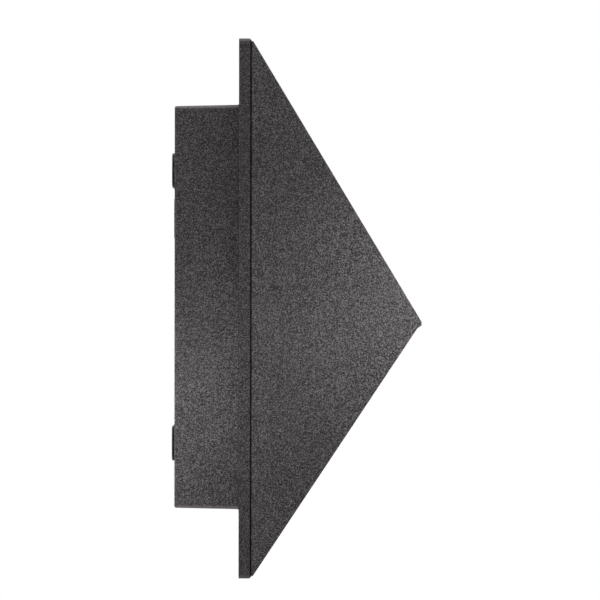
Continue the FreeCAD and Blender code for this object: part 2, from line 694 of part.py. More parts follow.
def make_terminal_block():
    sizes = ("block_long", "block_foot_long", "block_high", "block_thick")
    foot, case, holes = make_device("terminal", "-device_side", *sizes, BLOCK_SCREWS)
    screws = []
    for pole in (-1, 0, 1):
        x = f"-device_side + {pole} * pole_pitch"
        for row in BOTH:
            z = f"device_rise + {row} * pole_rise"
            name = f"pole{pole + 1}{(row + 1) // 2}"
            well = (x, f"-{STAND_TOP} - block_thick", z)
            holes.append(rod(f"{name}_well", "pole_well", "pole_well_deep", well, "+Y"))
            at = (x, f"-{STAND_TOP} - block_thick + pole_well_deep", z)
            screws.append(rod(f"{name}_screw", "pole_screw", "pole_screw_thick", at, "-Y"))
        middle = f"-{STAND_TOP} - inlet_level"
        inlet = block(
            f"pole{pole + 1}_inlet",
            (f"{x} - inlet_wide / 2", f"{x} + inlet_wide / 2"),
            (f"{middle} - inlet_high / 2", f"{middle} + inlet_high / 2"),
            ("device_rise - block_high / 2", "device_rise - block_high / 2 + inlet_deep"),
        )
        holes.append(inlet)
    body = cut("terminal_block", fuse("terminal_form", [foot, case]), holes)
    return [body, group("terminal_screws", screws)]


def make_surge_protector():
    sizes = ("surge_long", "surge_foot_long", "surge_high", "surge_thick")
    foot, case, holes = make_device("surge", "device_side", *sizes, SURGE_SCREWS)
    return cut("surge_protector", fuse("surge_form", [foot, case]), holes)


def make_device_screws():
    """The screws of the bracket, the terminal block and the surge protector."""
    screws = []
    for number, (x, z) in enumerate(BRACKET_SCREWS + BLOCK_SCREWS + SURGE_SCREWS):
        foot = "bracket_thick" if number < len(BRACKET_SCREWS) else "foot_thick"
        screw = pan_screw(
            f"device_screw{number}",
            "device_screw_radius",
            "device_screw_head",
            "device_screw_head_thick",
            f"{foot} + stand_high - screw_room",
            (x, f"-{STAND_TOP} - {foot}", z),
            "+Y",
            "-Y",
        )
        screws.append(screw)
    return group("device_screws", screws)


def make_ground_screw():
    x, z = GROUND_SCREW
    at = (x, f"-{STAND_TOP}", z)
    shank = rod("ground_shank", "device_screw_radius", "stand_high - screw_room", at, "+Y")
    head = hexagon("ground_hexagon", "ground_head", "ground_head_thick", at, "-Y")
    return fuse("ground_screw", [shank, head])


# Leads. A route is straight runs joined by tangent arcs, each reaching along its shorter run by
# BEND_SHARE. A swept volume may differ from its section times its length by SWEEP_TOLERANCE.
BEND_SHARE = 0.45
SWEEP_TOLERANCE = 0.01


def tube(label, points, radius):
    """A round lead along a route. Each arc is as large as its two runs allow."""
    points = [Vector(*point) for point in points]
    edges = []
    start = points[0]
    for before, corner, after in zip(points, points[1:], points[2:]):
        back = (before - corner).normalize()
        ahead = (after - corner).normalize()
        turn = math.pi - back.getAngle(ahead)
        shorter = min((corner - before).Length, (after - corner).Length)
        reach = BEND_SHARE * shorter
        bend = reach / math.tan(turn / 2)
        entry = corner + back * reach
        leave = corner + ahead * reach
        inward = (back + ahead).normalize()
        middle = corner + inward * (bend / math.cos(turn / 2) - bend)
        edges.append(Part.LineSegment(start, entry).toShape())
        edges.append(Part.Arc(entry, middle, leave).toShape())
        start = leave
        print(f"{label}: bend radius {bend:.1f} mm")
    edges.append(Part.LineSegment(start, points[-1]).toShape())
    path = Part.Wire(edges)
    section = Part.Wire(Part.makeCircle(radius, points[0], points[1] - points[0]))
    solid = path.makePipeShell([section], True, False)
    expected = math.pi * radius * radius * path.Length
    if abs(solid.Volume / expected - 1) > SWEEP_TOLERANCE:
        raise ValueError(f"{label}: the swept volume isn't its section times its length")
    return solid


def make_leads():
    level = -value("lead_level")
    end = value("driver_long / 2 + driver_cap")
    row = -value("driver_drop")
    terminal_foot = value("device_rise - block_high / 2")
    terminal_x = -value("device_side")
    inlet_level = -value(f"{STAND_TOP} + inlet_level")
    wire = value("wire_radius")
    wires = []
    for step in (-1, 0, 1):
        shift = step * value("wire_spacing")
        bend_x = -end - value("wire_out") - shift
        foot_x = terminal_x + step * value("pole_pitch")
        turn_z = terminal_foot - value("wire_turn") + shift
        route = [
            (-end, level + shift, row),
            (bend_x, level + shift, row),
            (bend_x, level + shift, turn_z),
            (foot_x, inlet_level, turn_z),
            (foot_x, inlet_level, terminal_foot + value("wire_entry")),
        ]
        wires.append(tube(f"supply wire {step + 2}", route, wire))
    supply = doc.addObject("Part::Feature", "supply_wires")
    supply.Shape = Part.makeCompound(wires)

    side = value("lead_side")
    crossing = -value(f"{BOX_RIM} - lead_end_gap")
    lead = value("lead_radius")
    box_route = [(end, level, row), (side, level, row), (side, level, 0), (side, crossing, 0)]
    box_lead = doc.addObject("Part::Feature", "led_lead_box")
    box_lead.Shape = tube("LED lead in the box", box_route, lead)

    slope = math.radians(value(LOWER_ANGLE))
    inward = Vector(0, math.cos(slope), math.sin(slope))
    up_slope = Vector(0, -math.sin(slope), math.cos(slope))
    centre = Vector(
        0,
        -value(f"{SEAM} + module_rise * sin({LOWER_ANGLE})"),
        value(f"-flange_drop - {HALF} + module_rise * cos({LOWER_ANGLE})"),
    )
    gland = centre + up_slope * value("gland_up") + inward * value("tray_deep + gland_flange_thick")
    before_gland = gland + inward * value("lead_gland_run")
    first_turn = (side, crossing - value("lead_door_run"), 0)
    door_route = [(side, crossing, 0), first_turn, tuple(before_gland), tuple(gland)]
    door_lead = doc.addObject("Part::Feature", "led_lead_door")
    door_lead.Shape = tube("LED lead in the door", door_route, lead)
    return [supply, box_lead, door_lead]


# Hinge.
def make_hinge_pins():
    pins = []
    span = "(door_knuckle_half + knuckle_gap + knuckle_long)"
    for number, side in enumerate(BOTH):
        foot = (HINGE_X, f"-{HINGE_Y}", f"{side} * hinge_height - {span} - {PAST}")
        shank = rod(f"pin{number}_shank", "pin_radius", f"2 * {span} + {PAST}", foot, "+Z")
        top = (HINGE_X, f"-{HINGE_Y}", f"{side} * hinge_height + {span}")
        head = rod(f"pin{number}_head", "pin_head", "pin_head_thick", top, "+Z")
        pins.append(fuse(f"pin{number}", [shank, head]))
    return group("hinge_pins", pins)


# Door: rim frame, front casting and what joins them.
def door_seal_ring(label, start, thick):
    """The ring that faces the box's rim."""
    outer = "(seal_wide - box_wall)"
    inner = "(seal_wide + box_wall)"
    return plate(
        label,
        "XZ_Plane",
        start,
        thick,
        (f"box_wide + {outer}", f"box_high + {outer}", f"box_corner + {outer}"),
        (f"box_wide - {inner}", f"box_high - {inner}", "box_corner"),
    )


def make_rear_frame():
    body = doc.addObject("PartDesign::Body", "frame_plate")
    outline = sketch_on(body, "frame_outline", "XZ_Plane", "flange_back")
    draw_rounded(outline, "flange_wide", "flange_high", "flange_corner", "0", "-flange_drop")
    draw_rounded(outline, WINDOW_WIDE, WINDOW_HIGH, "window_corner")
    plate_form = extrude(body, "Pad", "frame_sheet", outline, "flange_thick")
    window_reach = max(value(WINDOW_WIDE), value(WINDOW_HIGH)) / 2 + TOUCH

    def is_outer_edge(edge):
        bounds = edge.BoundBox
        reach = max(abs(bounds.XMin), abs(bounds.XMax), abs(bounds.ZMin), abs(bounds.ZMax))
        return bounds.YLength < TOUCH and reach > window_reach

    round_edges(body, "frame_edges", plate_form, "frame_round", is_outer_edge)
    added = [body]
    holes = [door_seal_ring("door_seal_groove", "flange_back", "seal_deep")]
    for number, side in enumerate(BOTH):
        low = f"{side} * hinge_height - door_knuckle_half"
        start = (HINGE_X, f"-{HINGE_Y}", low)
        length = "2 * door_knuckle_half"
        added.append(rod(f"lug{number}_knuckle", "knuckle_radius", length, start, "+Z"))
        web = block(
            f"lug{number}_web",
            (f"{HINGE_X} - knuckle_radius", f"{HINGE_X} + knuckle_radius"),
            (f"-flange_back - {PAST}", f"-{HINGE_Y}"),
            (low, f"{low} + 2 * door_knuckle_half"),
        )
        added.append(web)
    bore_at = (HINGE_X, f"-{HINGE_Y}", "-box_high / 2")
    holes.append(rod("lug_bores", "pin_radius + pin_play", "box_high", bore_at, "+Z"))
    for number, (x, z) in enumerate(CAPTIVE_SCREWS):
        radius = "captive_radius + captive_slack"
        start = (x, f"-flange_back + {PAST}", z)
        length = f"flange_thick + 2 * {PAST}"
        holes.append(rod(f"frame_captive{number}", radius, length, start, "-Y"))
    for number, (x, z) in enumerate(SEAM_SCREWS):
        start = (x, "-flange_back", z)
        holes.append(rod(f"frame_hole{number}", "seam_screw_radius", "flange_thick", start, "-Y"))
        sink = "seam_screw_head - seam_screw_radius"
        name = f"frame_sink{number}"
        holes.append(cone(name, "seam_screw_head", "seam_screw_radius", sink, start, "-Y"))
    return cut("rear_frame", fuse("frame_with_lugs", added), holes)


def make_seam_screws():
    screws = []
    for number, (x, z) in enumerate(SEAM_SCREWS):
        start = (x, "-flange_back", z)
        shank = rod(f"seam{number}_shank", "seam_screw_radius", "seam_screw_long", start, "-Y")
        sink = "seam_screw_head - seam_screw_radius"
        head = cone(f"seam{number}_head", "seam_screw_head", "seam_screw_radius", sink, start, "-Y")
        screws.append(fuse(f"seam_screw{number}", [shank, head]))
    return group("seam_screws", screws)


def make_seam_gasket():
    outer = "2 * frame_seal_inset"
    inner = "2 * (frame_seal_inset + frame_seal_wide)"
    return plate(
        "seam_gasket",
        "XZ_Plane",
        "flange_back + flange_thick",
        "seam_gap",
        (f"flange_wide - {outer}", f"flange_high - {outer}", "flange_corner", "0", "-flange_drop"),
        (f"flange_wide - {inner}", f"flange_high - {inner}", "flange_corner", "0", "-flange_drop"),
    )


def make_wedge_form():
    """The outer form of the front casting, solid."""
    body = doc.addObject("PartDesign::Body", "wedge_form")
    profile = sketch_on(body, "wedge_profile", "YZ_Plane")
    nose = f"-({SEAM} + nose_reach)"
    nose_level = "(-flange_drop - nose_drop)"
    foot_level = f"({nose_level} - lip_drop - lip_run)"
    slope_share = f"(({HALF} + flange_drop + {foot_level}) / ({HALF} - nose_drop))"
    corners = (
        (f"-{SEAM}", f"{HALF} - flange_drop"),
        (nose, nose_level),
        (nose, f"{nose_level} - lip_drop"),
        (f"-({SEAM} + nose_reach * {slope_share})", foot_level),
        (f"-{SEAM}", f"-{HALF} - flange_drop"),
    )
    draw_polygon(profile, corners)
    solid = extrude(body, "Pad", "wedge_solid", profile, "flange_wide", middle=True)
    front = value(nose)

    def is_lip_edge(edge):
        bounds = edge.BoundBox
        return bounds.XLength > value("flange_wide") / 2 and bounds.YMax < front + TOUCH

    rounded = round_edges(body, "lip_edges", solid, "lip_round", is_lip_edge)
    half_wide = value("flange_wide / 2")
    seam = -value(SEAM)

    def is_outer_edge(edge):
        bounds = edge.BoundBox
        on_side = bounds.XLength < TOUCH and abs(abs(bounds.XMin) - half_wide) < TOUCH
        return on_side or bounds.YMin > seam - TOUCH

    round_edges(body, "outer_edges", rounded, "edge_round", is_outer_edge)
    return body


def make_wedge_cavity():
    """The hollow of the front casting, open towards the rim frame."""
    body = doc.addObject("PartDesign::Body", "wedge_cavity")
    profile = sketch_on(body, "cavity_profile", "YZ_Plane")
    upper_loss = f"(slope_wall / sin({UPPER_ANGLE}))"
    lower_loss = f"(slope_wall / sin({LOWER_ANGLE}))"
    upper_fall = f"(1 / tan({UPPER_ANGLE}))"
    lower_fall = f"(1 / tan({LOWER_ANGLE}))"
    reach = f"((flange_high - {upper_loss} - {lower_loss}) / ({upper_fall} + {lower_fall}))"
    corners = (
        (f"-{SEAM}", f"{HALF} - flange_drop - {upper_loss}"),
        (f"-({SEAM} + {reach})", f"{HALF} - flange_drop - {upper_loss} - {reach} * {upper_fall}"),
        (f"-{SEAM}", f"-{HALF} - flange_drop + {lower_loss}"),
    )
    draw_polygon(profile, corners)
    wide = "flange_wide - 2 * side_wall"
    extrude(body, "Pad", "cavity_solid", profile, wide, middle=True)
    return body


def module_plate(label, deep, thick, outline, window=None, holes=()):
    """A plate parallel to the lower slope whose inner face lies `deep` under the slope."""
    return on_module(plate(label, "XY_Plane", f"-({deep})", thick, outline, window, holes))


def make_wedge_housing():
    form = make_wedge_form()
    shell = cut("wedge_shell", form, [make_wedge_cavity()])
    recess_wide = "(bezel_wide + 2 * bezel_play)"
    recess_high = "(bezel_high + 2 * bezel_play)"
    tray = module_plate(
        "led_tray",
        "tray_deep",
        "tray_deep",
        (f"{recess_wide} + 2 * tray_wall", f"{recess_high} + 2 * tray_wall", "bezel_corner"),
    )
    fins = []
    for number in range(FIN_COUNT):
        x = f"{number - (FIN_COUNT - 1) / 2} * fin_pitch"
        fin = block(
            f"fin{number}",
            (f"{x} - fin_thick / 2", f"{x} + fin_thick / 2"),
            ("-fin_low", "fin_high"),
            ("-tray_deep - fin_deep", f"-tray_deep + {PAST}"),
        )
        fins.append(fin)
    fin_group = on_module(fuse("cooling_fins", fins))
    inside = [tray, fin_group]
    for number, (x, z) in enumerate(CAPTIVE_SCREWS):
        start = (x, f"-{SEAM}", z)
        inside.append(rod(f"captive_tube{number}", "captive_boss", "nose_reach", start, "-Y"))
    for number, (x, z) in enumerate(SEAM_SCREWS):
        start = (x, f"-{SEAM}", z)
        inside.append(rod(f"seam_boss{number}", "seam_boss_radius", "seam_boss_long", start, "-Y"))
    structure = overlap_of("inner_structure", form, fuse("inner_parts", inside))

    recess = module_plate(
        "bezel_recess", GLASS_FACE, f"{GLASS_FACE} + {PAST}", (recess_wide, recess_high, "bezel_corner")
    )
    pocket = module_plate(
        "glass_pocket",
        LEDGE,
        f"{LEDGE} - {GLASS_FACE} + {PAST}",
        (f"{GLASS_WIDE} + 2 * glass_play", f"{GLASS_HIGH} + 2 * glass_play", "glass_corner"),
    )
    chamber = module_plate(
        "led_chamber",
        PLATFORM,
        f"{PLATFORM} - {LEDGE} + {PAST}",
        (CHAMBER_WIDE, CHAMBER_HIGH, "glass_corner"),
    )
    drilled = []
    for number, (x, y) in enumerate(BEZEL_SCREWS):
        start = (x, y, f"-{GLASS_FACE} + {PAST}")
        length = f"bezel_screw_long - bezel_thick + screw_room + {PAST}"
        drilled.append(rod(f"bezel_hole{number}", "small_screw_radius", length, start, "-Z"))
    for number, (x, y) in enumerate(BOARD_SCREWS):
        start = (x, y, f"-{PLATFORM} + {PAST}")
        length = f"board_screw_long - board_thick - thermal_thick + screw_room + {PAST}"
        drilled.append(rod(f"board_hole{number}", "small_screw_radius", length, start, "-Z"))
    gland_at = ("0", "gland_up", f"-{PLATFORM} + {PAST}")
    length = f"platform_thick + 2 * {PAST}"
    drilled.append(rod("gland_hole", "gland_radius", length, gland_at, "-Z"))
    holes = [recess, pocket, chamber, on_module(fuse("module_holes", drilled))]
    for number, (x, z) in enumerate(CAPTIVE_SCREWS):
        bore_at = (x, f"-{SEAM}", z)
        radius = "captive_radius + captive_slack"
        holes.append(rod(f"tube_bore{number}", radius, "nose_reach", bore_at, "-Y"))
        length = "captive_seat - captive_web"
        holes.append(rod(f"retainer_bore{number}", "captive_well", length, bore_at, "-Y"))
        seat_at = (x, f"-{SEAM} - captive_seat", z)
        holes.append(rod(f"head_well{number}", "captive_well", "nose_reach", seat_at, "-Y"))
    for number, (x, z) in enumerate(SEAM_SCREWS):
        start = (x, f"-{SEAM}", z)
        length = "seam_screw_long - flange_thick - seam_gap + screw_room"
        holes.append(rod(f"seam_hole{number}", "seam_screw_radius", length, start, "-Y"))
    return cut("wedge_housing", fuse("wedge_with_bosses", [shell, structure]), holes)


# LED module.
def make_module_plates():
    window = ("bezel_wide - 2 * bezel_frame", "bezel_high - 2 * bezel_frame", "glass_corner")
    bezel = module_plate(
        "lens_bezel",
        GLASS_FACE,
        "bezel_thick",
        ("bezel_wide", "bezel_high", "bezel_corner"),
        window,
        [("small_screw_radius", x, y) for x, y in BEZEL_SCREWS],
    )
    glass = module_plate(
        "lens_glass", SEAL_FACE, "glass_thick", (GLASS_WIDE, GLASS_HIGH, "glass_corner")
    )
    seal = module_plate(
        "lens_gasket",
        LEDGE,
        "glass_seal_thick",
        (GLASS_WIDE, GLASS_HIGH, "glass_corner"),
        (CHAMBER_WIDE, CHAMBER_HIGH, "glass_corner"),
    )
    board_outline = ("board_wide", "board_high", "board_corner", "0", "-board_low")
    board_holes = [("small_screw_radius", x, y) for x, y in BOARD_SCREWS]
    thermal = module_plate(
        "thermal_pad", PLATFORM, "thermal_thick", board_outline, holes=board_holes
    )
    board = module_plate("led_board", BOARD_BACK, "board_thick", board_outline, holes=board_holes)
    return [bezel, glass, seal, thermal, board]


def first_led():
    """Where the LED at the lower left sits, in the module's axes."""
    x = f"(-led_pitch_x * {(LED_COLUMNS - 1) / 2})"
    y = f"(-led_pitch_y * {(LED_ROWS - 1) / 2} - board_low)"
    return x, y


def repeat_leds(body, name, features):
    """Repeat features of a body over the grid of LEDs."""
    pattern = body.newObject("PartDesign::LinearPattern", name)
    pattern.Originals = features
    pattern.Direction = (origin_plane(body, "X_Axis"), [""])
    pattern.Occurrences = LED_COLUMNS
    pattern.Mode = "Spacing"
    bind(pattern, Offset="led_pitch_x")
    pattern.Direction2 = (origin_plane(body, "Y_Axis"), [""])
    pattern.Occurrences2 = LED_ROWS
    pattern.Mode2 = "Spacing"
    bind(pattern, Offset2="led_pitch_y")
    pattern.Spacings2 = [-1.0] * (LED_ROWS - 1)
    body.Tip = pattern
    doc.recompute()
    return pattern


def make_leds():
    x, y = first_led()
    chips = doc.addObject("PartDesign::Body", "led_chips")
    sketch = sketch_on(chips, "chip_outline", "XY_Plane", f"-{BOARD_FACE}")
    draw_rounded(sketch, "chip_side", "chip_side", "chip_corner", x, y)
    chip = extrude(chips, "Pad", "chip", sketch, "chip_thick")
    repeat_leds(chips, "chip_grid", [chip])

    optic = doc.addObject("PartDesign::Body", "optic_plate")
    sheet_outline = sketch_on(optic, "optic_outline", "XY_Plane", f"-{BOARD_FACE}")
    draw_rounded(sheet_outline, "optic_wide", "optic_high", "optic_corner", "0", "-board_low")
    extrude(optic, "Pad", "optic_sheet", sheet_outline, "optic_thick")
    ball = "((dome_radius ^ 2 + dome_high ^ 2) / (2 * dome_high))"
    dome = optic.newObject("PartDesign::AdditiveSphere", "dome")
    bind(dome, Radius=ball, Angle1=f"asin(({ball} - dome_high - dome_root) / {ball})")
    dome.AttachmentSupport = [(origin_plane(optic, "XY_Plane"), "")]
    dome.MapMode = "FlatFace"
    bind(
        dome,
        AttachmentOffset__Base__x=x,
        AttachmentOffset__Base__y=y,
        AttachmentOffset__Base__z=f"-{OPTIC_FACE} + dome_high - {ball}",
    )
    doc.recompute()
    room = sketch_on(optic, "chip_room", "XY_Plane", f"-{BOARD_FACE}")
    draw_circle(room, "chip_side / sqrt(2) + chip_room", x, y)
    hollow = extrude(optic, "Pocket", "chip_hollow", room, "chip_thick + chip_room", reverse=True)
    repeat_leds(optic, "dome_grid", [dome, hollow])
    return [on_module(chips), on_module(optic)]


def make_module_screws():
    bezel_screws = []
    for number, (x, y) in enumerate(BEZEL_SCREWS):
        screw = pan_screw(
            f"bezel_screw{number}",
            "small_screw_radius",
            "small_screw_head",
            "small_screw_head_thick",
            "bezel_screw_long",
            (x, y, "-bezel_deep"),
            "-Z",
            "+Z",
        )
        bezel_screws.append(screw)
    board_screws = []
    for number, (x, y) in enumerate(BOARD_SCREWS):
        screw = pan_screw(
            f"board_screw{number}",
            "small_screw_radius",
            "small_screw_head",
            "small_screw_head_thick",
            "board_screw_long",
            (x, y, f"-{BOARD_FACE}"),
            "-Z",
            "+Z",
        )
        board_screws.append(screw)
    return [
        on_module(group("bezel_screws", bezel_screws)),
        on_module(group("board_screws", board_screws)),
    ]


def make_lead_bushing():
    """Soft bushing that seals the lead where it passes the LED platform."""
    inner = rod(
        "lead_bushing_inner",
        "gland_flange",
        "gland_flange_thick",
        ("0", "gland_up", "-tray_deep"),
        "-Z",
    )
    neck_at = ("0", "gland_up", f"-{PLATFORM}")
    neck = rod("lead_bushing_neck", "gland_radius", "platform_thick", neck_at, "-Z")
    return on_module(fuse("lead_bushing", [inner, neck]))


# Captive screws.
def make_captive_screw(label, ring_label, x, z):
    seat = f"({SEAM} + captive_seat)"
    tip = f"({BOX_RIM} - boss_front - captive_grip)"
    at = (x, f"-{seat}", z)
    shank = rod(f"{label}_shank", "captive_radius", f"{seat} - {tip}", at, "+Y")
    head = rod(f"{label}_head", "captive_head", "captive_head_thick", at, "-Y")
    socket_at = (x, f"-{seat} - captive_head_thick", z)
    socket = hexagon(f"{label}_socket", "captive_socket", "captive_socket_deep", socket_at, "+Y")
    screw = cut(label, fuse(f"{label}_form", [shank, head]), [socket])
    ring_at = (x, f"-{SEAM} - retainer_gap", z)
    ring = rod(f"{ring_label}_disc", "retainer_radius", "retainer_thick", ring_at, "-Y")
    hole = rod(f"{ring_label}_hole", "captive_radius", "retainer_thick", ring_at, "-Y")
    return [screw, cut(ring_label, ring, [hole])]


nodes = [make_back_box(), make_mounting_pads(), make_supply_bushing()]
nodes += make_driver()
nodes += make_terminal_block()
nodes += [make_surge_protector(), make_device_screws(), make_ground_screw()]
nodes += make_leads()
nodes += [make_hinge_pins(), door_seal_ring("door_seal", BOX_RIM, "seal_gap + seal_deep")]
nodes += [make_rear_frame(), make_seam_screws(), make_seam_gasket(), make_wedge_housing()]
nodes += make_module_plates()
nodes += make_leds()
nodes += make_module_screws()
nodes += [make_lead_bushing()]
nodes += make_captive_screw("captive_screw_lower", "retainer_lower", *CAPTIVE_SCREWS[0])
nodes += make_captive_screw("captive_screw_upper", "retainer_upper", *CAPTIVE_SCREWS[1])

doc.recompute()
for thing in doc.Objects:
    if "Invalid" in thing.State or "Error" in thing.State:
        raise RuntimeError(f"{thing.Label} could not be built: {thing.State}")
for node in nodes:
    if node.Shape.isNull() or not node.Shape.isValid():
        raise RuntimeError(f"{node.Label} has no valid shape")

os.makedirs("parts", exist_ok=True)
for node in nodes:
    node.Shape.exportStep(f"parts/{node.Label}.step")
    print(f"{node.Label}: {len(node.Shape.Solids)} solids, {node.Shape.Volume / 1000:.2f} cm3")
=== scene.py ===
import json
import math

import bmesh
import bpy
from mathutils import Matrix, Vector


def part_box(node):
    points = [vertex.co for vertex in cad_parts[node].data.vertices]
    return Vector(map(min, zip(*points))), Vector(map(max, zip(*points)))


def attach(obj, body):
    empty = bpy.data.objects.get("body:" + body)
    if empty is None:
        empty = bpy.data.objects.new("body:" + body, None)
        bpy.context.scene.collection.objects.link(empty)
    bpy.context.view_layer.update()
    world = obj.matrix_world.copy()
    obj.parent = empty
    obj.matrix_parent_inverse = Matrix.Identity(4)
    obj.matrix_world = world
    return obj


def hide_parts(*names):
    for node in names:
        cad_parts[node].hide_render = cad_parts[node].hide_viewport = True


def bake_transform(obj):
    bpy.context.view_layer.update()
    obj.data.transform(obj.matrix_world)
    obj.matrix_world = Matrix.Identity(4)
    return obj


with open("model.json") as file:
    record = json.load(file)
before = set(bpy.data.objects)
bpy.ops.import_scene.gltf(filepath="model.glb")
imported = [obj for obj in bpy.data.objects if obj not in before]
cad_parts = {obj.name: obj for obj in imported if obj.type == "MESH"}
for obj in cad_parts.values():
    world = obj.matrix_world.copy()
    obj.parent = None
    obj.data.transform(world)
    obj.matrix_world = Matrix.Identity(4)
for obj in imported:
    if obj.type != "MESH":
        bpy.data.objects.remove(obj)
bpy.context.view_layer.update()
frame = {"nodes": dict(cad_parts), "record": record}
NODES = frame["nodes"]
MM = 0.001


# Node-material helpers. Nearly all values of a noise lie in its band.
NOISE_BAND = 0.3, 0.7
OFF_AXES = 0.52, 0.83, 0.37


def srgb(red, green, blue):
    """A colour given as 0-255 display values, as the linear RGBA that shaders use."""
    def linear(channel):
        share = channel / 255
        return share / 12.92 if share <= 0.04045 else ((share + 0.055) / 1.055) ** 2.4
    return (linear(red), linear(green), linear(blue), 1.0)


def scaled(tone, share):
    """A tone made darker or lighter by a factor."""
    return tuple(min(channel * share, 1.0) for channel in tone[:3]) + (1.0,)


def around(tone, share):
    """Two colours about a tone, darker and lighter by a share of it."""
    return scaled(tone, 1 - share), scaled(tone, 1 + share)


class Material:
    """A Principled material with short calls for the nodes that feed it.

    Patterns use object coordinates turned off the axes, so that no flat face lies along their grid.
    """

    def __init__(self, name, **sockets):
        self.data = bpy.data.materials.new(name)
        self.data.use_nodes = True
        self.tree = self.data.node_tree
        self.shader = self.tree.nodes["Principled BSDF"]
        for socket, number in sockets.items():
            self.shader.inputs[socket.replace("_", " ")].default_value = number
        places = self.tree.nodes.new("ShaderNodeTexCoord").outputs
        self.straight, self.normal = places["Object"], places["Normal"]
        self.place = self.mapped(turn=OFF_AXES)

    def node(self, kind, inputs=(), **settings):
        made = self.tree.nodes.new(kind)
        for setting, chosen in settings.items():
            setattr(made, setting, chosen)
        for socket, source in dict(inputs).items():
            if isinstance(source, bpy.types.NodeSocket):
                self.tree.links.new(source, made.inputs[socket])
            else:
                made.inputs[socket].default_value = source
        return made

    def feed(self, socket, source):
        self.tree.links.new(source, self.shader.inputs[socket])

    def mapped(self, stretch=(1, 1, 1), turn=(0, 0, 0)):
        inputs = {"Vector": self.straight, "Scale": stretch, "Rotation": turn}
        return self.node("ShaderNodeMapping", inputs).outputs[0]

    def noise(self, scale, detail=2.0, where=None):
        inputs = {"Vector": where or self.place, "Scale": scale, "Detail": detail}
        return self.node("ShaderNodeTexNoise", inputs).outputs["Fac"]

    def cells(self, scale):
        """Packed cells, as the distance to a cell's middle and a random number for each cell."""
        made = self.node("ShaderNodeTexVoronoi", {"Vector": self.place, "Scale": scale})
        return made.outputs["Distance"], made.outputs["Color"]

    def ramp(self, source, *stops):
        """A colour ramp over `source` with stops of (position, colour)."""
        made = self.node("ShaderNodeValToRGB", {"Fac": source})
        elements = made.color_ramp.elements
        while len(elements) < len(stops):
            elements.new(0.5)
        for element, (position, colour) in zip(elements, stops):
            element.position = position
            element.color = colour
        return made.outputs["Color"]

    def mottled(self, noise, tones):
        """Two tones mixed by a noise."""
        return self.ramp(noise, *zip(NOISE_BAND, tones))

    def spread(self, source, low, high, start=0.0, end=1.0):
        """Map `source` from start..end to low..high."""
        inputs = {"From Min": start, "From Max": end, "To Min": low, "To Max": high}
        return self.node("ShaderNodeMapRange", {"Value": source, **inputs}).outputs["Result"]

    def varied(self, noise, low, high):
        """Map a noise to low..high."""
        return self.spread(noise, low, high, *NOISE_BAND)

    def join(self, operation, *sources):
        inputs = dict(enumerate(sources))
        return self.node("ShaderNodeMath", inputs, operation=operation).outputs[0]

    def bump(self, height, depth):
        """A bump of `depth` millimetres."""
        inputs = {"Height": height, "Distance": depth * MM}
        return self.node("ShaderNodeBump", inputs).outputs["Normal"]


def powder_coat(name, tone, grain=1480.0, depth=0.16, corners=False):
    """Sand-textured powder coat of small packed pebbles.

    Its shade runs from about 0 in the gaps, painted shade, to about 1 on the crowns of the palest
    pebbles, a painted highlight. With `corners`, edges rounded across X and Z get a pale, even
    painted highlight.
    """
    # Shares for the gaps' painted shade and the crowns' painted highlight, and the shade of the
    # painted highlight on rounded corners.
    gap_share, crown_share, highlight_shade = 0.06, 4.6, 0.85
    coat = Material(name, Roughness=0.6, IOR=1.36)
    pebbles, chance = coat.cells(grain)
    rough, specks, cloud = coat.noise(grain * 1.6), coat.noise(grain * 0.37), coat.noise(16.0, 3.0)
    # Painted shade and painted highlight: each pebble is dark towards the gaps around it and pale
    # at its crown, on top of a random tone per pebble.
    shade = coat.spread(pebbles, 0.92, 0.12, 0.1, 0.8)
    shade = coat.join("ADD", shade, coat.spread(chance, -0.4, 0.4))
    for noise, swing in (rough, 0.12), (specks, 0.05), (cloud, 0.04):
        shade = coat.join("ADD", shade, coat.varied(noise, -swing, swing))
    if corners:
        # Painted highlight: on fillets that turn between X and Z faces the shade is pulled pale,
        # for the light such a rounded edge catches.
        facing = coat.node("ShaderNodeSeparateXYZ", {0: coat.normal}).outputs
        turned = coat.join("ABSOLUTE", coat.join("MULTIPLY", facing["X"], facing["Z"]))
        corner_highlight = coat.spread(turned, 0.0, 1.0, 0.1, 0.42)
        paler = coat.join("SUBTRACT", highlight_shade, shade)
        shade = coat.join("ADD", shade, coat.join("MULTIPLY", corner_highlight, paler))
    # The gap stop is painted shade and the crown stop a painted highlight.
    stops = (0.12, scaled(tone, gap_share)), (0.5, tone), (0.95, scaled(tone, crown_share))
    coat.feed("Base Color", coat.ramp(shade, *stops))
    coat.feed("Roughness", coat.spread(pebbles, 0.46, 0.74, 0.2, 0.8))
    height = coat.join("SUBTRACT", coat.spread(rough, 0.0, 0.5), pebbles)
    coat.feed("Normal", coat.bump(height, depth))
    return coat.data


def moulded(name, tone, roughness, grain=1400.0, depth=0.03, variation=0.12, ior=1.45):
    """Moulded plastic or rubber with a faint surface texture."""
    plastic = Material(name, Roughness=roughness, IOR=ior)
    fine = plastic.noise(grain)
    plastic.feed("Base Color", plastic.mottled(plastic.noise(70.0, 3.0), around(tone, variation)))
    plastic.feed("Roughness", plastic.varied(fine, roughness * 0.85, roughness * 1.2))
    plastic.feed("Normal", plastic.bump(fine, depth))
    return plastic.data


def metal(name, tone, roughness, stretch=(1, 1, 1)):
    """Bare metal with fine marks, drawn out along an axis by a smaller stretch there."""
    plated = Material(name, Metallic=1.0, Roughness=roughness)
    marks = plated.noise(900.0, 3.0, plated.mapped(stretch))
    plated.feed("Base Color", plated.mottled(plated.noise(35.0, 3.0), around(tone, 0.05)))
    plated.feed("Roughness", plated.varied(marks, roughness * 0.7, roughness * 1.35))
    plated.feed("Normal", plated.bump(marks, 0.01))
    return plated.data


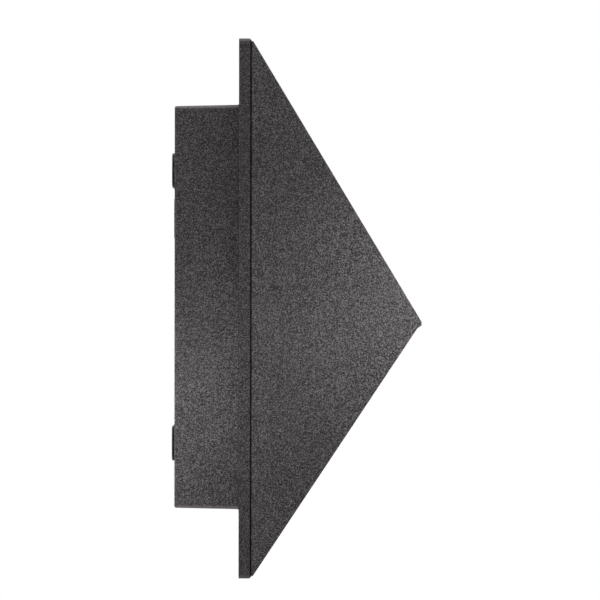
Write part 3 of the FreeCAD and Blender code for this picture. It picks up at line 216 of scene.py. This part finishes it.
def clear(name, tint, ior, roughness):
    """Clear glass or acrylic with a few faint streaks in its polish."""
    glass = Material(name, Roughness=roughness, IOR=ior, Transmission_Weight=1.0)
    streaks = glass.noise(120.0)
    glass.feed("Base Color", glass.mottled(streaks, around(tint, 0.012)))
    glass.feed("Roughness", glass.spread(streaks, roughness, roughness + 0.03, 0.35, 0.8))
    return glass.data


COAT_GREY = srgb(60, 57, 58)
SMOOTH = 0.01
WIRE_GRAIN = 2200.0
MATERIALS = {
    "casting": powder_coat("casting_coat", COAT_GREY),
    "bezel_metal": powder_coat("bezel_coat", srgb(56, 53, 54), 1500.0, 0.1),
    "pad_rubber": moulded("gloss_black_pad", srgb(12, 12, 12), 0.16, depth=0.004, ior=1.25),
    "seal_rubber": moulded("seal_rubber", srgb(22, 22, 22), 0.7),
    "bushing_rubber": moulded("bushing_rubber", srgb(36, 36, 36), 0.55),
    "driver_case": metal("driver_aluminium", srgb(196, 198, 200), 0.34, (1, 12, 12)),
    "driver_plastic": moulded("driver_plastic", srgb(32, 32, 32), 0.5, depth=0.05),
    "bracket_steel": metal("bracket_zinc", srgb(186, 188, 186), 0.36, (1, 1, 6)),
    "terminal_plastic": moulded("terminal_plastic", srgb(222, 216, 198), 0.45),
    "surge_plastic": moulded("surge_plastic", srgb(28, 44, 92), 0.4),
    "screw_steel": metal("screw_zinc", srgb(190, 190, 182), 0.3),
    "stainless": metal("stainless", srgb(180, 180, 178), 0.24),
    "ground_green": moulded("ground_green", srgb(28, 120, 58), 0.35),
    "wire_jacket": moulded("wire_jacket", srgb(18, 18, 18), 0.45, WIRE_GRAIN),
    "wire_colours": moulded("wire_brown", srgb(96, 52, 28), 0.4),
    "clear_glass": clear("tempered_glass", (0.975, 0.988, 0.982, 1.0), 1.5, 0.0),
    "board_white": moulded("board_mask", srgb(240, 240, 236), 0.38, depth=SMOOTH, variation=0.02),
    "thermal_grey": moulded("thermal_pad", srgb(120, 126, 134), 0.8),
    "led_phosphor": moulded("led_phosphor", srgb(244, 200, 60), 0.25, depth=SMOOTH),
    "optic_clear": clear("optic_acrylic", (0.985, 0.99, 0.99, 1.0), 1.49, 0.01),
}

# Box coat: the casting's coat with a painted highlight on its rounded corners.
BOX_COAT = powder_coat("box_coat", COAT_GREY, corners=True)
# Painted shade: the rim has the casting's own coat, painted darker here for the shade it stands in,
# with the same painted corner highlight as the box.
RIM_SHADED_COAT = powder_coat("rim_coat_painted_shade", srgb(48, 45, 46), corners=True)
CERAMIC = moulded("led_ceramic", srgb(232, 230, 222), 0.3, depth=SMOOTH, variation=0.03)
MASKED_COPPER = moulded("mask_over_copper", srgb(214, 218, 210), 0.3, depth=SMOOTH, variation=0.03)
SEAM_BLACK = moulded("seam_black", srgb(8, 8, 8), 0.8, ior=1.25)
BRASS = metal("screw_brass", srgb(206, 178, 110), 0.28)
WIRES = {
    "black": moulded("wire_black", srgb(26, 26, 27), 0.35, WIRE_GRAIN),
    "white": moulded("wire_white", srgb(222, 221, 214), 0.35, WIRE_GRAIN),
    "green": moulded("wire_green", srgb(34, 122, 62), 0.35, WIRE_GRAIN),
    "red": moulded("wire_red", srgb(176, 34, 30), 0.35, WIRE_GRAIN),
}

for subpart in frame["record"]["subparts"]:
    node = NODES[subpart["node"]]
    node.data.materials.clear()
    node.data.materials.append(MATERIALS[subpart["material_slot"]])
NODES["back_box"].data.materials[0] = BOX_COAT
# The rim takes the darker, painted-shade copy of the coat.
NODES["rear_frame"].data.materials[0] = RIM_SHADED_COAT


# Frames, in millimetres: BOX has X across, Y up and Z away from the wall, REAR faces the wall,
# and the two ends face out of the driver's ends.
BOX = Matrix(((1, 0, 0, 0), (0, 0, -1, 0), (0, 1, 0, 0), (0, 0, 0, 1)))
REAR = Matrix(((-1, 0, 0, 0), (0, 0, 1, 0), (0, 1, 0, 0), (0, 0, 0, 1)))
RIGHT_END = BOX @ Matrix(((0, 0, 1, 0), (1, 0, 0, 0), (0, 1, 0, 0), (0, 0, 0, 1)))
LEFT_END = BOX @ Matrix(((0, 0, -1, 0), (1, 0, 0, 0), (0, -1, 0, 0), (0, 0, 0, 1)))
GLASS_SUNK = 6.8


def module_frame():
    """X across, Y up the lower slope and Z out of it, from the middle of the lens opening.

    The middle of the glass is GLASS_SUNK behind that.
    """
    widest = max(NODES["lens_glass"].data.polygons, key=lambda polygon: polygon.area)
    outward = widest.normal if widest.normal.y < 0 else -widest.normal
    low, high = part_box("lens_glass")
    up = outward.cross(Vector((1, 0, 0)))
    turn = Matrix(((1, 0, 0), up, outward)).transposed()
    return Matrix.Translation((low + high) / 2 / MM + outward * GLASS_SUNK) @ turn.to_4x4()


MODULE = module_frame()


def at(place, x, y, z):
    return place @ Matrix.Translation((x, y, z))


# Where the CAD model has things. middle and span give this to a hundredth of a millimetre.
def solids(node, place):
    """The lowest and highest corners of each solid of a CAD node, along a frame's axes."""
    form = bmesh.new()
    form.from_mesh(NODES[node].data)
    bmesh.ops.remove_doubles(form, verts=form.verts, dist=0.001 * MM)
    form.transform(place.inverted() @ Matrix.Scale(1 / MM, 4))
    seen, corners = set(), []
    for first in form.verts:
        if first in seen:
            continue
        seen.add(first)
        solid = [first]
        for vertex in solid:
            fresh = {edge.other_vert(vertex) for edge in vertex.link_edges} - seen
            seen |= fresh
            solid.extend(fresh)
        lines = list(zip(*(vertex.co for vertex in solid)))
        corners.append(([min(line) for line in lines], [max(line) for line in lines]))
    form.free()
    return corners


def span(node, place):
    """The lowest and highest corners of a whole CAD node, along a frame's axes."""
    lows, highs = zip(*solids(node, place))
    return (
        [round(min(line), 2) for line in zip(*lows)],
        [round(max(line), 2) for line in zip(*highs)],
    )


def middle(low, high):
    return [round((start + end) / 2, 2) for start, end in zip(low, high)]


# Outlines, as lists of (x, y).
def circle(radius, steps=32):
    turns = [2 * math.pi * step / steps for step in range(steps)]
    return [(radius * math.cos(turn), radius * math.sin(turn)) for turn in turns]


def rounded(wide, high, corner, steps=4):
    """A rectangle with round corners."""
    points = []
    for quarter, (side, rise) in enumerate(((1, 1), (-1, 1), (-1, -1), (1, -1))):
        x, y = side * (wide / 2 - corner), rise * (high / 2 - corner)
        for step in range(steps + 1):
            turn = (quarter + step / steps) * math.pi / 2
            points.append((x + corner * math.cos(turn), y + corner * math.sin(turn)))
    return points


def cross(long, wide):
    """The mouth of a cross recess."""
    a, b = long / 2, wide / 2
    right = [(b, -a), (b, -b), (a, -b), (a, b), (b, b), (b, a)]
    return right + [(-x, -y) for x, y in right]


# Shapes, added to a form whose numbers are millimetres.
def ring(form, place, outline, height):
    return [form.verts.new(place @ Vector((x, y, height))) for x, y in outline]


def bridge(form, lower, upper):
    for index, (start, above) in enumerate(zip(lower, upper)):
        follow = (index + 1) % len(lower)
        form.faces.new((start, lower[follow], upper[follow], above))


def loft(form, place, layers, foot=True, top=True):
    """Walls through (outline, height) layers with as many points each."""
    rings = [ring(form, place, outline, height) for outline, height in layers]
    for lower, upper in zip(rings, rings[1:]):
        bridge(form, lower, upper)
    if foot:
        form.faces.new(rings[0][::-1])
    if top:
        form.faces.new(rings[-1])
    return rings


def web(form, *loops):
    """A flat face inside the first loop and outside the others."""
    edges = []
    for loop in loops:
        for start, end in zip(loop, loop[1:] + loop[:1]):
            edges.append(form.edges.get((start, end)) or form.edges.new((start, end)))
    bmesh.ops.triangle_fill(form, use_beauty=True, edges=edges)


def slab(form, place, wide, high, corner, low, top, ease=0.4):
    """A rounded plate whose upper and lower edges are eased in four steps."""
    turns = [math.pi / 8 * step for step in range(5)]
    layers = []
    for start, side in ((low + ease, -1), (top - ease, 1)):
        for turn in turns[::side]:
            pull = ease * (1 - math.cos(turn))
            outline = rounded(wide - 2 * pull, high - 2 * pull, max(corner - pull, 0.05))
            layers.append((outline, start + side * ease * math.sin(turn)))
    return loft(form, place, layers)


def screw(form, place, head, recess, depth, shank=0.0, reach=0.0, taper=0.8, sides=32):
    """A screw with its head's (radius, height) profile and its socket's outline and depth.

    A shank, where it has one, reaches down from height 0.
    """
    layers = [(circle(radius, sides), height) for radius, height in head]
    rings = loft(form, place, layers, top=False)
    foot, height = head[0][1], head[-1][1]
    mouth = ring(form, place, recess, height)
    floor = ring(form, place, [(taper * x, taper * y) for x, y in recess], height - depth)
    bridge(form, mouth, floor)
    form.faces.new(floor)
    web(form, rings[-1], mouth)
    if shank:
        loft(form, place, [(circle(shank, 20), -reach), (circle(shank, 20), foot + 0.1)])


def pan(radius, thick):
    shape = ((1, 0), (1, 0.3), (0.97, 0.5), (0.9, 0.7), (0.78, 0.88), (0.66, 0.97), (0.6, 1))
    return [(radius * across, thick * up) for across, up in shape]


# Pieces.
SHARP = math.radians(28)


def piece(name, form, slot, body, *nodes, finish=None):
    """Turn a form into a piece that rides on a body and stands for CAD nodes."""
    bmesh.ops.recalc_face_normals(form, faces=form.faces)
    form.transform(Matrix.Scale(MM, 4))
    mesh = bpy.data.meshes.new(name)
    form.to_mesh(mesh)
    form.free()
    made = dress(name, mesh, slot, body, nodes, finish)
    made.modifiers.new("flat_faces", "WEIGHTED_NORMAL").keep_sharp = True
    return made


def dress(name, mesh, slot, body, nodes, finish):
    """An object for a mesh, with its finish; a piece with no body is left unattached."""
    mesh.shade_smooth()
    mesh.set_sharp_from_angle(angle=SHARP)
    mesh.materials.clear()
    mesh.materials.append(finish or MATERIALS[slot])
    made = bpy.data.objects.new(name, mesh)
    bpy.context.scene.collection.objects.link(made)
    if body:
        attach(made, body)
    if nodes:
        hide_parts(*nodes)
    return made


def tube(name, base, route, radius, slot, body, *nodes, finish=None):
    """A round lead along the smooth curve of its route."""
    data = bpy.data.curves.new(name, "CURVE")
    data.dimensions = "3D"
    line = data.splines.new("NURBS")
    line.points.add(len(route) - 1)
    for point, place in zip(line.points, route):
        point.co = (*(base @ Vector(place) * MM), 1.0)
    line.order_u = 3
    line.use_endpoint_u = True
    data.resolution_u = 16
    data.bevel_depth = radius * MM
    data.bevel_resolution = 5
    data.use_fill_caps = True
    drawn = bpy.data.objects.new(name, data)
    mesh = bpy.data.meshes.new_from_object(drawn)
    bpy.data.objects.remove(drawn)
    bpy.data.curves.remove(data)
    mesh.name = name
    return dress(name, mesh, slot, body, nodes, finish)


# Screws.
def seat_of(corners, place, head):
    """The place of a CAD screw's seat, and how far the screw reaches from it."""
    x, y, _ = middle(*corners)
    low, high = corners[0][2], corners[1][2]
    seat = round(high - head[-1][1], 2)
    return at(place, x, y, seat), round(seat - low, 2)


def add_screw_set(name, node, place, kind, slot, body, finish=None):
    """Screws of one kind in the places of a CAD node's screws."""
    form = bmesh.new()
    for corners in solids(node, place):
        seat, reach = seat_of(corners, place, kind["head"])
        screw(form, seat, reach=reach, **kind)
    piece(name, form, slot, body, node, finish=finish)


def add_screws():
    small = dict(head=pan(2.9, 1.9), recess=cross(3.0, 0.8), depth=1.1, shank=1.5)
    large = dict(head=pan(3.8, 2.6), recess=cross(4.0, 1.1), depth=1.6, shank=2.0)
    sunk = dict(
        head=((2.0, -2.0), (3.9, -0.1), (3.95, -0.03), (3.9, 0)),
        recess=cross(4.2, 1.1), depth=1.3, shank=2.0,
    )
    slotted = dict(
        head=((2.3, 0), (2.3, 2.6), (2.2, 2.85), (2.0, 3.0)),
        recess=rounded(3.5, 0.8, 0.1), depth=1.1, taper=1.0,
    )
    hexagonal = dict(
        head=((5, 0), (5, 2.6), (4.7, 3.0), (4.2, 3.2)), sides=6,
        recess=rounded(5.4, 1.0, 0.1), depth=1.2, taper=1.0, shank=2.0,
    )
    steel = "screw_steel"
    add_screw_set("bezel_screw_set", "bezel_screws", MODULE, small, "stainless", "front_door")
    add_screw_set("board_screw_set", "board_screws", MODULE, small, steel, "front_door")
    add_screw_set("device_screw_set", "device_screws", BOX, large, steel, "back_box")
    add_screw_set("seam_screw_set", "seam_screws", REAR, sunk, "stainless", "front_door")
    add_screw_set("terminal_screw_set", "terminal_screws", BOX, slotted, steel, "back_box", BRASS)
    add_screw_set("ground_screw_hex", "ground_screw", BOX, hexagonal, "ground_green", "back_box")


def add_captive_screws():
    """Socket-head screws with a rolled thread of 1 mm pitch on the end that holds the door."""
    head = (5, 0), (5, 3.8), (4.9, 4.1), (4.6, 4.4), (4.2, 4.5)
    shank, root, rise = 3.0, 2.55, 0.45
    turns, levels, sides = 12, 8, 32
    for body in "captive_screw_lower", "captive_screw_upper":
        form = bmesh.new()
        place, reach = seat_of(solids(body, BOX)[0], BOX, head)
        screw(form, place, head, circle(2.9, 6), 2.7, shank, reach - turns - 1, taper=0.97)
        layers = [(circle(2.0), -reach), (circle(2.6), 0.6 - reach)]
        for step in range(turns * levels + 1):
            height = 0.7 - reach + step / levels
            outline = []
            for side in range(sides):
                phase = (height - side / sides) % 1.0
                radius = root + rise * (1 - abs(2 * phase - 1))
                angle = 2 * math.pi * side / sides
                outline.append((radius * math.cos(angle), radius * math.sin(angle)))
            layers.append((outline, height))
        layers += [(circle(2.6), turns + 0.9 - reach), (circle(shank), turns + 1.4 - reach)]
        loft(form, place, layers)
        piece(f"{body}_threaded", form, "stainless", body, body)


def add_seam_rubber():
    """The gasket between the castings, squeezed out nearly to their edges."""
    (left, bottom, rear), (right, top, front) = span("seam_gasket", BOX)
    wide, high, band, corner = right - left, top - bottom, 5, 2.4
    squeezed = (1.0, 1.8, rear), (1.8, 2.6, rear + 0.2), (1.8, 2.4, front - 0.2), (1.0, 1.2, front)
    outer = [(rounded(wide + x, high + y, corner), depth) for x, y, depth in squeezed]
    hole = rounded(wide - 2 * band, high - 2 * band, corner)
    form = bmesh.new()
    place = at(BOX, 0, (bottom + top) / 2, 0)
    outside = loft(form, place, outer, foot=False, top=False)
    inside = loft(form, place, [(hole, rear), (hole, front)], foot=False, top=False)
    web(form, outside[0], inside[0])
    web(form, outside[-1], inside[-1])
    piece("seam_rubber", form, "seal_rubber", "front_door", "seam_gasket", finish=SEAM_BLACK)


# LED module.
LED_PLACES = [middle(*corners)[:2] for corners in solids("led_chips", MODULE)]
BOARD_LOW, BOARD_HIGH = span("led_board", MODULE)
BOARD_MIDDLE = (BOARD_LOW[1] + BOARD_HIGH[1]) / 2
BOARD_FACE = BOARD_HIGH[2]


def add_led_packages():
    base, glow = bmesh.new(), bmesh.new()
    dome = (1.5, 0.45), (1.5, 0.56), (1.38, 0.66), (1.1, 0.74), (0.6, 0.8)
    for x, y in LED_PLACES:
        place = at(MODULE, x, y, BOARD_FACE)
        slab(base, place, 3.5, 3.5, 0.45, 0.0, 0.5, 0.1)
        loft(glow, place, [(circle(radius, 24), height) for radius, height in dome])
    piece("led_ceramic", base, "led_phosphor", "front_door", "led_chips", finish=CERAMIC)
    piece("led_domes", glow, "led_phosphor", "front_door", "led_chips")


def add_board_parts():
    """Copper under the board's white mask, and the plug and wires that feed it."""
    columns, rows = (sorted(set(line)) for line in zip(*LED_PLACES))
    feed, plug, entry, thick = BOARD_HIGH[1] - 4, 14, 48, 0.03
    rail = BOARD_HIGH[0] - 9.5
    pairs = zip(columns, columns[1:])
    copper = [((left + right) / 2, y, 13.4, 4.2) for left, right in pairs for y in rows]
    copper += [(x, BOARD_MIDDLE, 4.2, rows[-1] - rows[0] + 4) for x in (-rail, rail)]
    copper += [(-40, feed, 96, 3), (55, feed, 66, 3)]
    form = bmesh.new()
    for x, y, wide, high in copper:
        outline = rounded(wide, high, 0.6)
        loft(form, at(MODULE, x, y, BOARD_FACE), [(outline, 0), (outline, thick)])
    piece("board_copper", form, "board_white", "front_door", finish=MASKED_COPPER)

    form = bmesh.new()
    slab(form, at(MODULE, plug, feed, BOARD_FACE), 10, 5, 0.5, 0.0, 3.6)
    slab(form, at(MODULE, plug, feed - 0.4, BOARD_FACE), 8.6, 3.4, 0.3, 3.4, 4.2, 0.2)
    piece("board_plug", form, "board_white", "front_door", finish=CERAMIC)
    for colour, side in ("red", -1), ("black", 1):
        start, end = 0.9 * side, plug + 1.6 * side
        path = [(start, entry, -6.1), (start, entry, 2.4)]
        path += [(end, 45.5, 4.1), (end, 40, 2.3), (end, 35, 2)]
        route = [(x, y, BOARD_FACE + rise) for x, y, rise in path]
        name = f"board_wire_{colour}"
        tube(name, MODULE, route, 0.75, "wire_colours", "front_door", finish=WIRES[colour])


def add_optic_plate():
    """Clear moulded plate with a round lens over each LED and a pocket under each."""
    (left, bottom, under), (right, top, crown) = span("optic_plate", MODULE)
    rise, radius, steps, bevel, corner = 3.6, 6.4, 11, 0.3, 4
    foot, face = under + 0.05, crown - rise
    form = bmesh.new()
    layers = []
    for pull, height in (bevel, foot), (0.0, foot + bevel), (0.0, face - bevel), (bevel, face):
        wide, high = right - left - 2 * pull, top - bottom - 2 * pull
        layers.append((rounded(wide, high, corner - pull, 8), height))
    rings = loft(form, at(MODULE, 0, (bottom + top) / 2, 0), layers, foot=False, top=False)
    ball = (radius**2 + rise**2) / (2 * rise)
    turns = [math.asin(radius / ball) * step / steps for step in range(steps, 0, -1)]
    heights = [crown - ball * (1 - math.cos(turn)) for turn in turns]
    dome = [(circle(ball * math.sin(turn), 40), height) for turn, height in zip(turns, heights)]
    well = (2.9, 0), (2.85, 0.5), (2.6, 0.8), (2.1, 1.05), (1.4, 1.2), (0.7, 1.25)
    pocket = [(circle(across, 24), foot + up) for across, up in well]
    domes, pockets = [], []
    for x, y in LED_PLACES:
        place = at(MODULE, x, y, 0)
        domes.append(loft(form, place, dome, foot=False)[0])
        pockets.append(loft(form, place, pocket, foot=False)[0])
    web(form, rings[-1], *domes)
    web(form, rings[0], *pockets)
    piece("optic_lenses", form, "optic_clear", "front_door", "optic_plate")


# Devices in the box. A lead leaves each end of the driver at the same distance from the wall.
LEAD_DEPTH = 26


def add_driver():
    """Extruded case with grooved sides, plastic end caps with their screws, and lead grommets."""
    (left, bottom, rear), (right, top, front) = span("driver_case", BOX)
    cap_end = span("driver_end_caps", BOX)[1][0]
    level, side = (bottom + top) / 2, (top - bottom) / 2
    half = [(side - 0.8, rear), (side, rear + 0.8)]
    for groove in rear + 5.5, rear + 12, rear + 18.5:
        half += [(side, groove), (side - 0.7, groove + 0.6)]
        half += [(side - 0.7, groove + 2.4), (side, groove + 3)]
    half += [(side, front - 2.9), (side - 0.5, front - 1.1), (side - 1.4, front - 0.3)]
    half += [(side - 2.6, front), (side - 7, front), (side - 7.5, front - 0.7)]
    half += [(side - 9.5, front - 0.7), (side - 10, front)]
    section = half + [(-x, y) for x, y in reversed(half)]
    form = bmesh.new()
    loft(form, at(RIGHT_END, level, 0, 0), [(section, left), (section, right)])
    piece("driver_extrusion", form, "driver_case", "back_box", "driver_case")

    caps, screws = bmesh.new(), bmesh.new()
    depth, thick = (rear + front) / 2, front - rear
    inset, step_in = 5, 1.4
    for end, up in (RIGHT_END, 1), (LEFT_END, -1):
        place = at(end, level, up * depth, 0)
        slab(caps, place, 2 * side, thick, 2.5, right, cap_end, 0.5)
        for x in inset - side, side - inset:
            for y in inset - thick / 2, thick / 2 - inset:
                screw(screws, at(place, x, y, cap_end), pan(2.0, 1.1), cross(2.1, 0.6), 0.6)
    for end, up, wide, high in (RIGHT_END, 1, 8.4, 8.4), (LEFT_END, -1, 7, 13):
        place = at(end, level, up * LEAD_DEPTH, 0)
        for step, low in enumerate((cap_end - 0.1, cap_end + 1.1)):
            pull = step_in * step
            slab(caps, place, wide - pull, high - pull, 2.7, low, low + 1.5, 0.3)
    piece("driver_caps", caps, "driver_plastic", "back_box", "driver_end_caps")
    piece("driver_cap_screws", screws, "screw_steel", "back_box")


def add_surge_protector():
    """A block on a foot that takes its screws, with a raised lid."""
    (left, bottom, rear), (right, top, front) = span("surge_protector", BOX)
    wide, high = right - left, top - bottom
    form = bmesh.new()
    place = at(BOX, (left + right) / 2, (bottom + top) / 2, 0)
    slab(form, place, wide, high, 4, rear, rear + 3, 0.5)
    slab(form, place, wide - 20, high, 2.5, rear, front - 0.7, 1.2)
    slab(form, place, wide - 26, high - 6, 2, front - 1, front, 0.4)
    piece("surge_module", form, "surge_plastic", "back_box", "surge_protector")


def add_leads():
    """Three supply wires, and the LED lead that runs past the hinge to the door."""
    (left, bottom, _), (right, top, _) = span("driver_end_caps", BOX)
    level = (bottom + top) / 2
    poles = sorted({middle(*corners)[0] for corners in solids("terminal_screws", BOX)})
    entry, pole_depth, gap = 15.5, 20.2, 3.2
    for step, colour, pole in zip((-1, 0, 1), ("black", "white", "green"), poles):
        out, depth, turn = left - 17 - gap * step, LEAD_DEPTH - gap * step, gap * step - 3
        route = [(left, level, depth), (out, level, depth), (out, turn, depth)]
        route += [(pole, turn, pole_depth), (pole, entry, pole_depth)]
        name, finish = f"supply_wire_{colour}", WIRES[colour]
        tube(name, BOX, route, 1.2, "wire_colours", "back_box", "supply_wires", finish=finish)

    aside, parting = right + 26, span("led_lead_box", BOX)[1][2]
    low, high = span("lead_bushing", MODULE)
    x, y, _ = middle(low, high)
    out, mouth = (MODULE @ Vector((x, y, low[2] - before)) for before in (26, 0))
    route = [(right, level, LEAD_DEPTH), (aside, level, LEAD_DEPTH), (aside, 0, LEAD_DEPTH)]
    route += [(aside, 0, parting), (aside, 0, 80)]
    route = [BOX @ Vector(place) for place in route] + [out, mouth]
    nodes = "led_lead_box", "led_lead_door"
    lead = tube("led_lead", Matrix(), route, 2.6, "wire_jacket", None, *nodes)
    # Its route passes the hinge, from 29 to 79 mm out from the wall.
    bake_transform(lead)


add_screws()
add_seam_rubber()
add_captive_screws()
add_led_packages()
add_board_parts()
add_optic_plate()
add_driver()
add_surge_protector()
add_leads()


# Camera, light and floor, in metres. The two pixels are where the photograph has the rear plane of
# the rim, across, and the middle of the seam, down.
PHOTO_MM_PER_PIXEL = 0.6942
PHOTO_SIDE = 600
RIM_REAR_PIXEL = 238.75
RIM_MIDDLE_PIXEL = 308.5
RIM_THICK = 8.0 * MM
CAMERA_DISTANCE = 16.0
CAMERA_ROLL = math.radians(0.06)


def add_camera():
    """A long lens square to the side, framed as the photograph is."""
    rim_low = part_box("rear_frame")[0]
    seam_low, seam_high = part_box("seam_gasket")
    per_pixel = PHOTO_MM_PER_PIXEL * MM
    centre = PHOTO_SIDE / 2
    rim_rear = seam_high.y + RIM_THICK
    data = bpy.data.cameras.new("photo_camera")
    data.sensor_fit = "HORIZONTAL"
    data.lens = data.sensor_width * CAMERA_DISTANCE / (PHOTO_SIDE * per_pixel)
    data.clip_end = 100
    camera = bpy.data.objects.new("photo_camera", data)
    camera.location = (
        rim_low.x - CAMERA_DISTANCE,
        rim_rear - (centre - RIM_REAR_PIXEL) * per_pixel,
        (seam_low.z + seam_high.z) / 2 - (centre - RIM_MIDDLE_PIXEL) * per_pixel,
    )
    facing = Matrix.Rotation(math.pi / 2, 4, "X")
    turned = Matrix.Rotation(-math.pi / 2, 4, "Z") @ facing @ Matrix.Rotation(CAMERA_ROLL, 4, "Z")
    camera.rotation_euler = turned.to_euler()
    bpy.context.scene.collection.objects.link(camera)
    bpy.context.scene.camera = camera


def add_area_light(name, place, target, size, power, beam=180):
    """A round lamp of `size` metres and `power` watts, whose beam is in degrees."""
    data = bpy.data.lights.new(name, "AREA")
    data.shape = "DISK"
    data.size = size
    data.energy = power
    data.spread = math.radians(beam)
    lamp = bpy.data.objects.new(name, data)
    lamp.location = place
    lamp.rotation_euler = (Vector(target) - Vector(place)).to_track_quat("-Z", "Y").to_euler()
    lamp.visible_camera = False
    bpy.context.scene.collection.objects.link(lamp)


def add_world():
    """Plain soft light, and white where the camera, glass or a mirror looks past the object."""
    soft, white = 0.35, 1.0
    world = bpy.data.worlds.new("studio")
    world.use_nodes = True
    tree = world.node_tree
    tree.nodes.clear()
    path = tree.nodes.new("ShaderNodeLightPath")
    seen = path.outputs["Is Camera Ray"]
    for ray in "Is Glossy Ray", "Is Transmission Ray":
        either = tree.nodes.new("ShaderNodeMath")
        either.operation = "MAXIMUM"
        tree.links.new(seen, either.inputs[0])
        tree.links.new(path.outputs[ray], either.inputs[1])
        seen = either.outputs[0]
    mix = tree.nodes.new("ShaderNodeMixShader")
    tree.links.new(seen, mix.inputs["Fac"])
    for socket, strength in (1, soft), (2, white):
        shade = tree.nodes.new("ShaderNodeBackground")
        shade.inputs["Color"].default_value = (1, 1, 1, 1)
        shade.inputs["Strength"].default_value = strength
        tree.links.new(shade.outputs[0], mix.inputs[socket])
    output = tree.nodes.new("ShaderNodeOutputWorld")
    tree.links.new(mix.outputs[0], output.inputs["Surface"])
    bpy.context.scene.world = world


def add_floor():
    """A round pale floor, as far below as the ground is under such a light."""
    radius, drop = 2.0, 3.0
    mesh = bpy.data.meshes.new("studio_floor")
    form = bmesh.new()
    bmesh.ops.create_circle(form, cap_ends=True, segments=96, radius=radius)
    form.to_mesh(mesh)
    form.free()
    floor = bpy.data.objects.new("studio_floor", mesh)
    floor.location.z = -drop
    bpy.context.scene.collection.objects.link(floor)
    pale = Material("floor_pale", Roughness=0.9)
    tones = srgb(246, 246, 246), srgb(250, 250, 250)
    pale.feed("Base Color", pale.mottled(pale.noise(3.0), tones))
    mesh.materials.append(pale.data)


add_camera()
add_world()
add_floor()
add_area_light("side_soft", (-2.2, 0.25, 0.25), (-0.18, -0.1, -0.02), 1.0, 7.6)
add_area_light("nose_glow", (-1.3, -0.35, -0.05), (-0.18, -0.197, 0.003), 0.12, 0.078, beam=13)
add_area_light("box_glow", (-1.0, 0.75, -0.25), (-0.145, -0.008, -0.066), 0.08, 0.047, beam=11)
add_area_light("front_high", (0.7, -2.2, 1.3), (0, -0.08, 0), 1.6, 32)
add_area_light("rear_high", (0.5, 2.2, 1.2), (0, 0, 0), 1.6, 26)
add_area_light("top_soft", (-0.5, -0.3, 2.4), (0, -0.08, 0), 1.2, 22)
add_area_light("right_soft", (2.2, -0.6, -0.3), (0.1, -0.08, 0), 1.4, 18)

bpy.context.scene.view_settings.view_transform = "Standard"
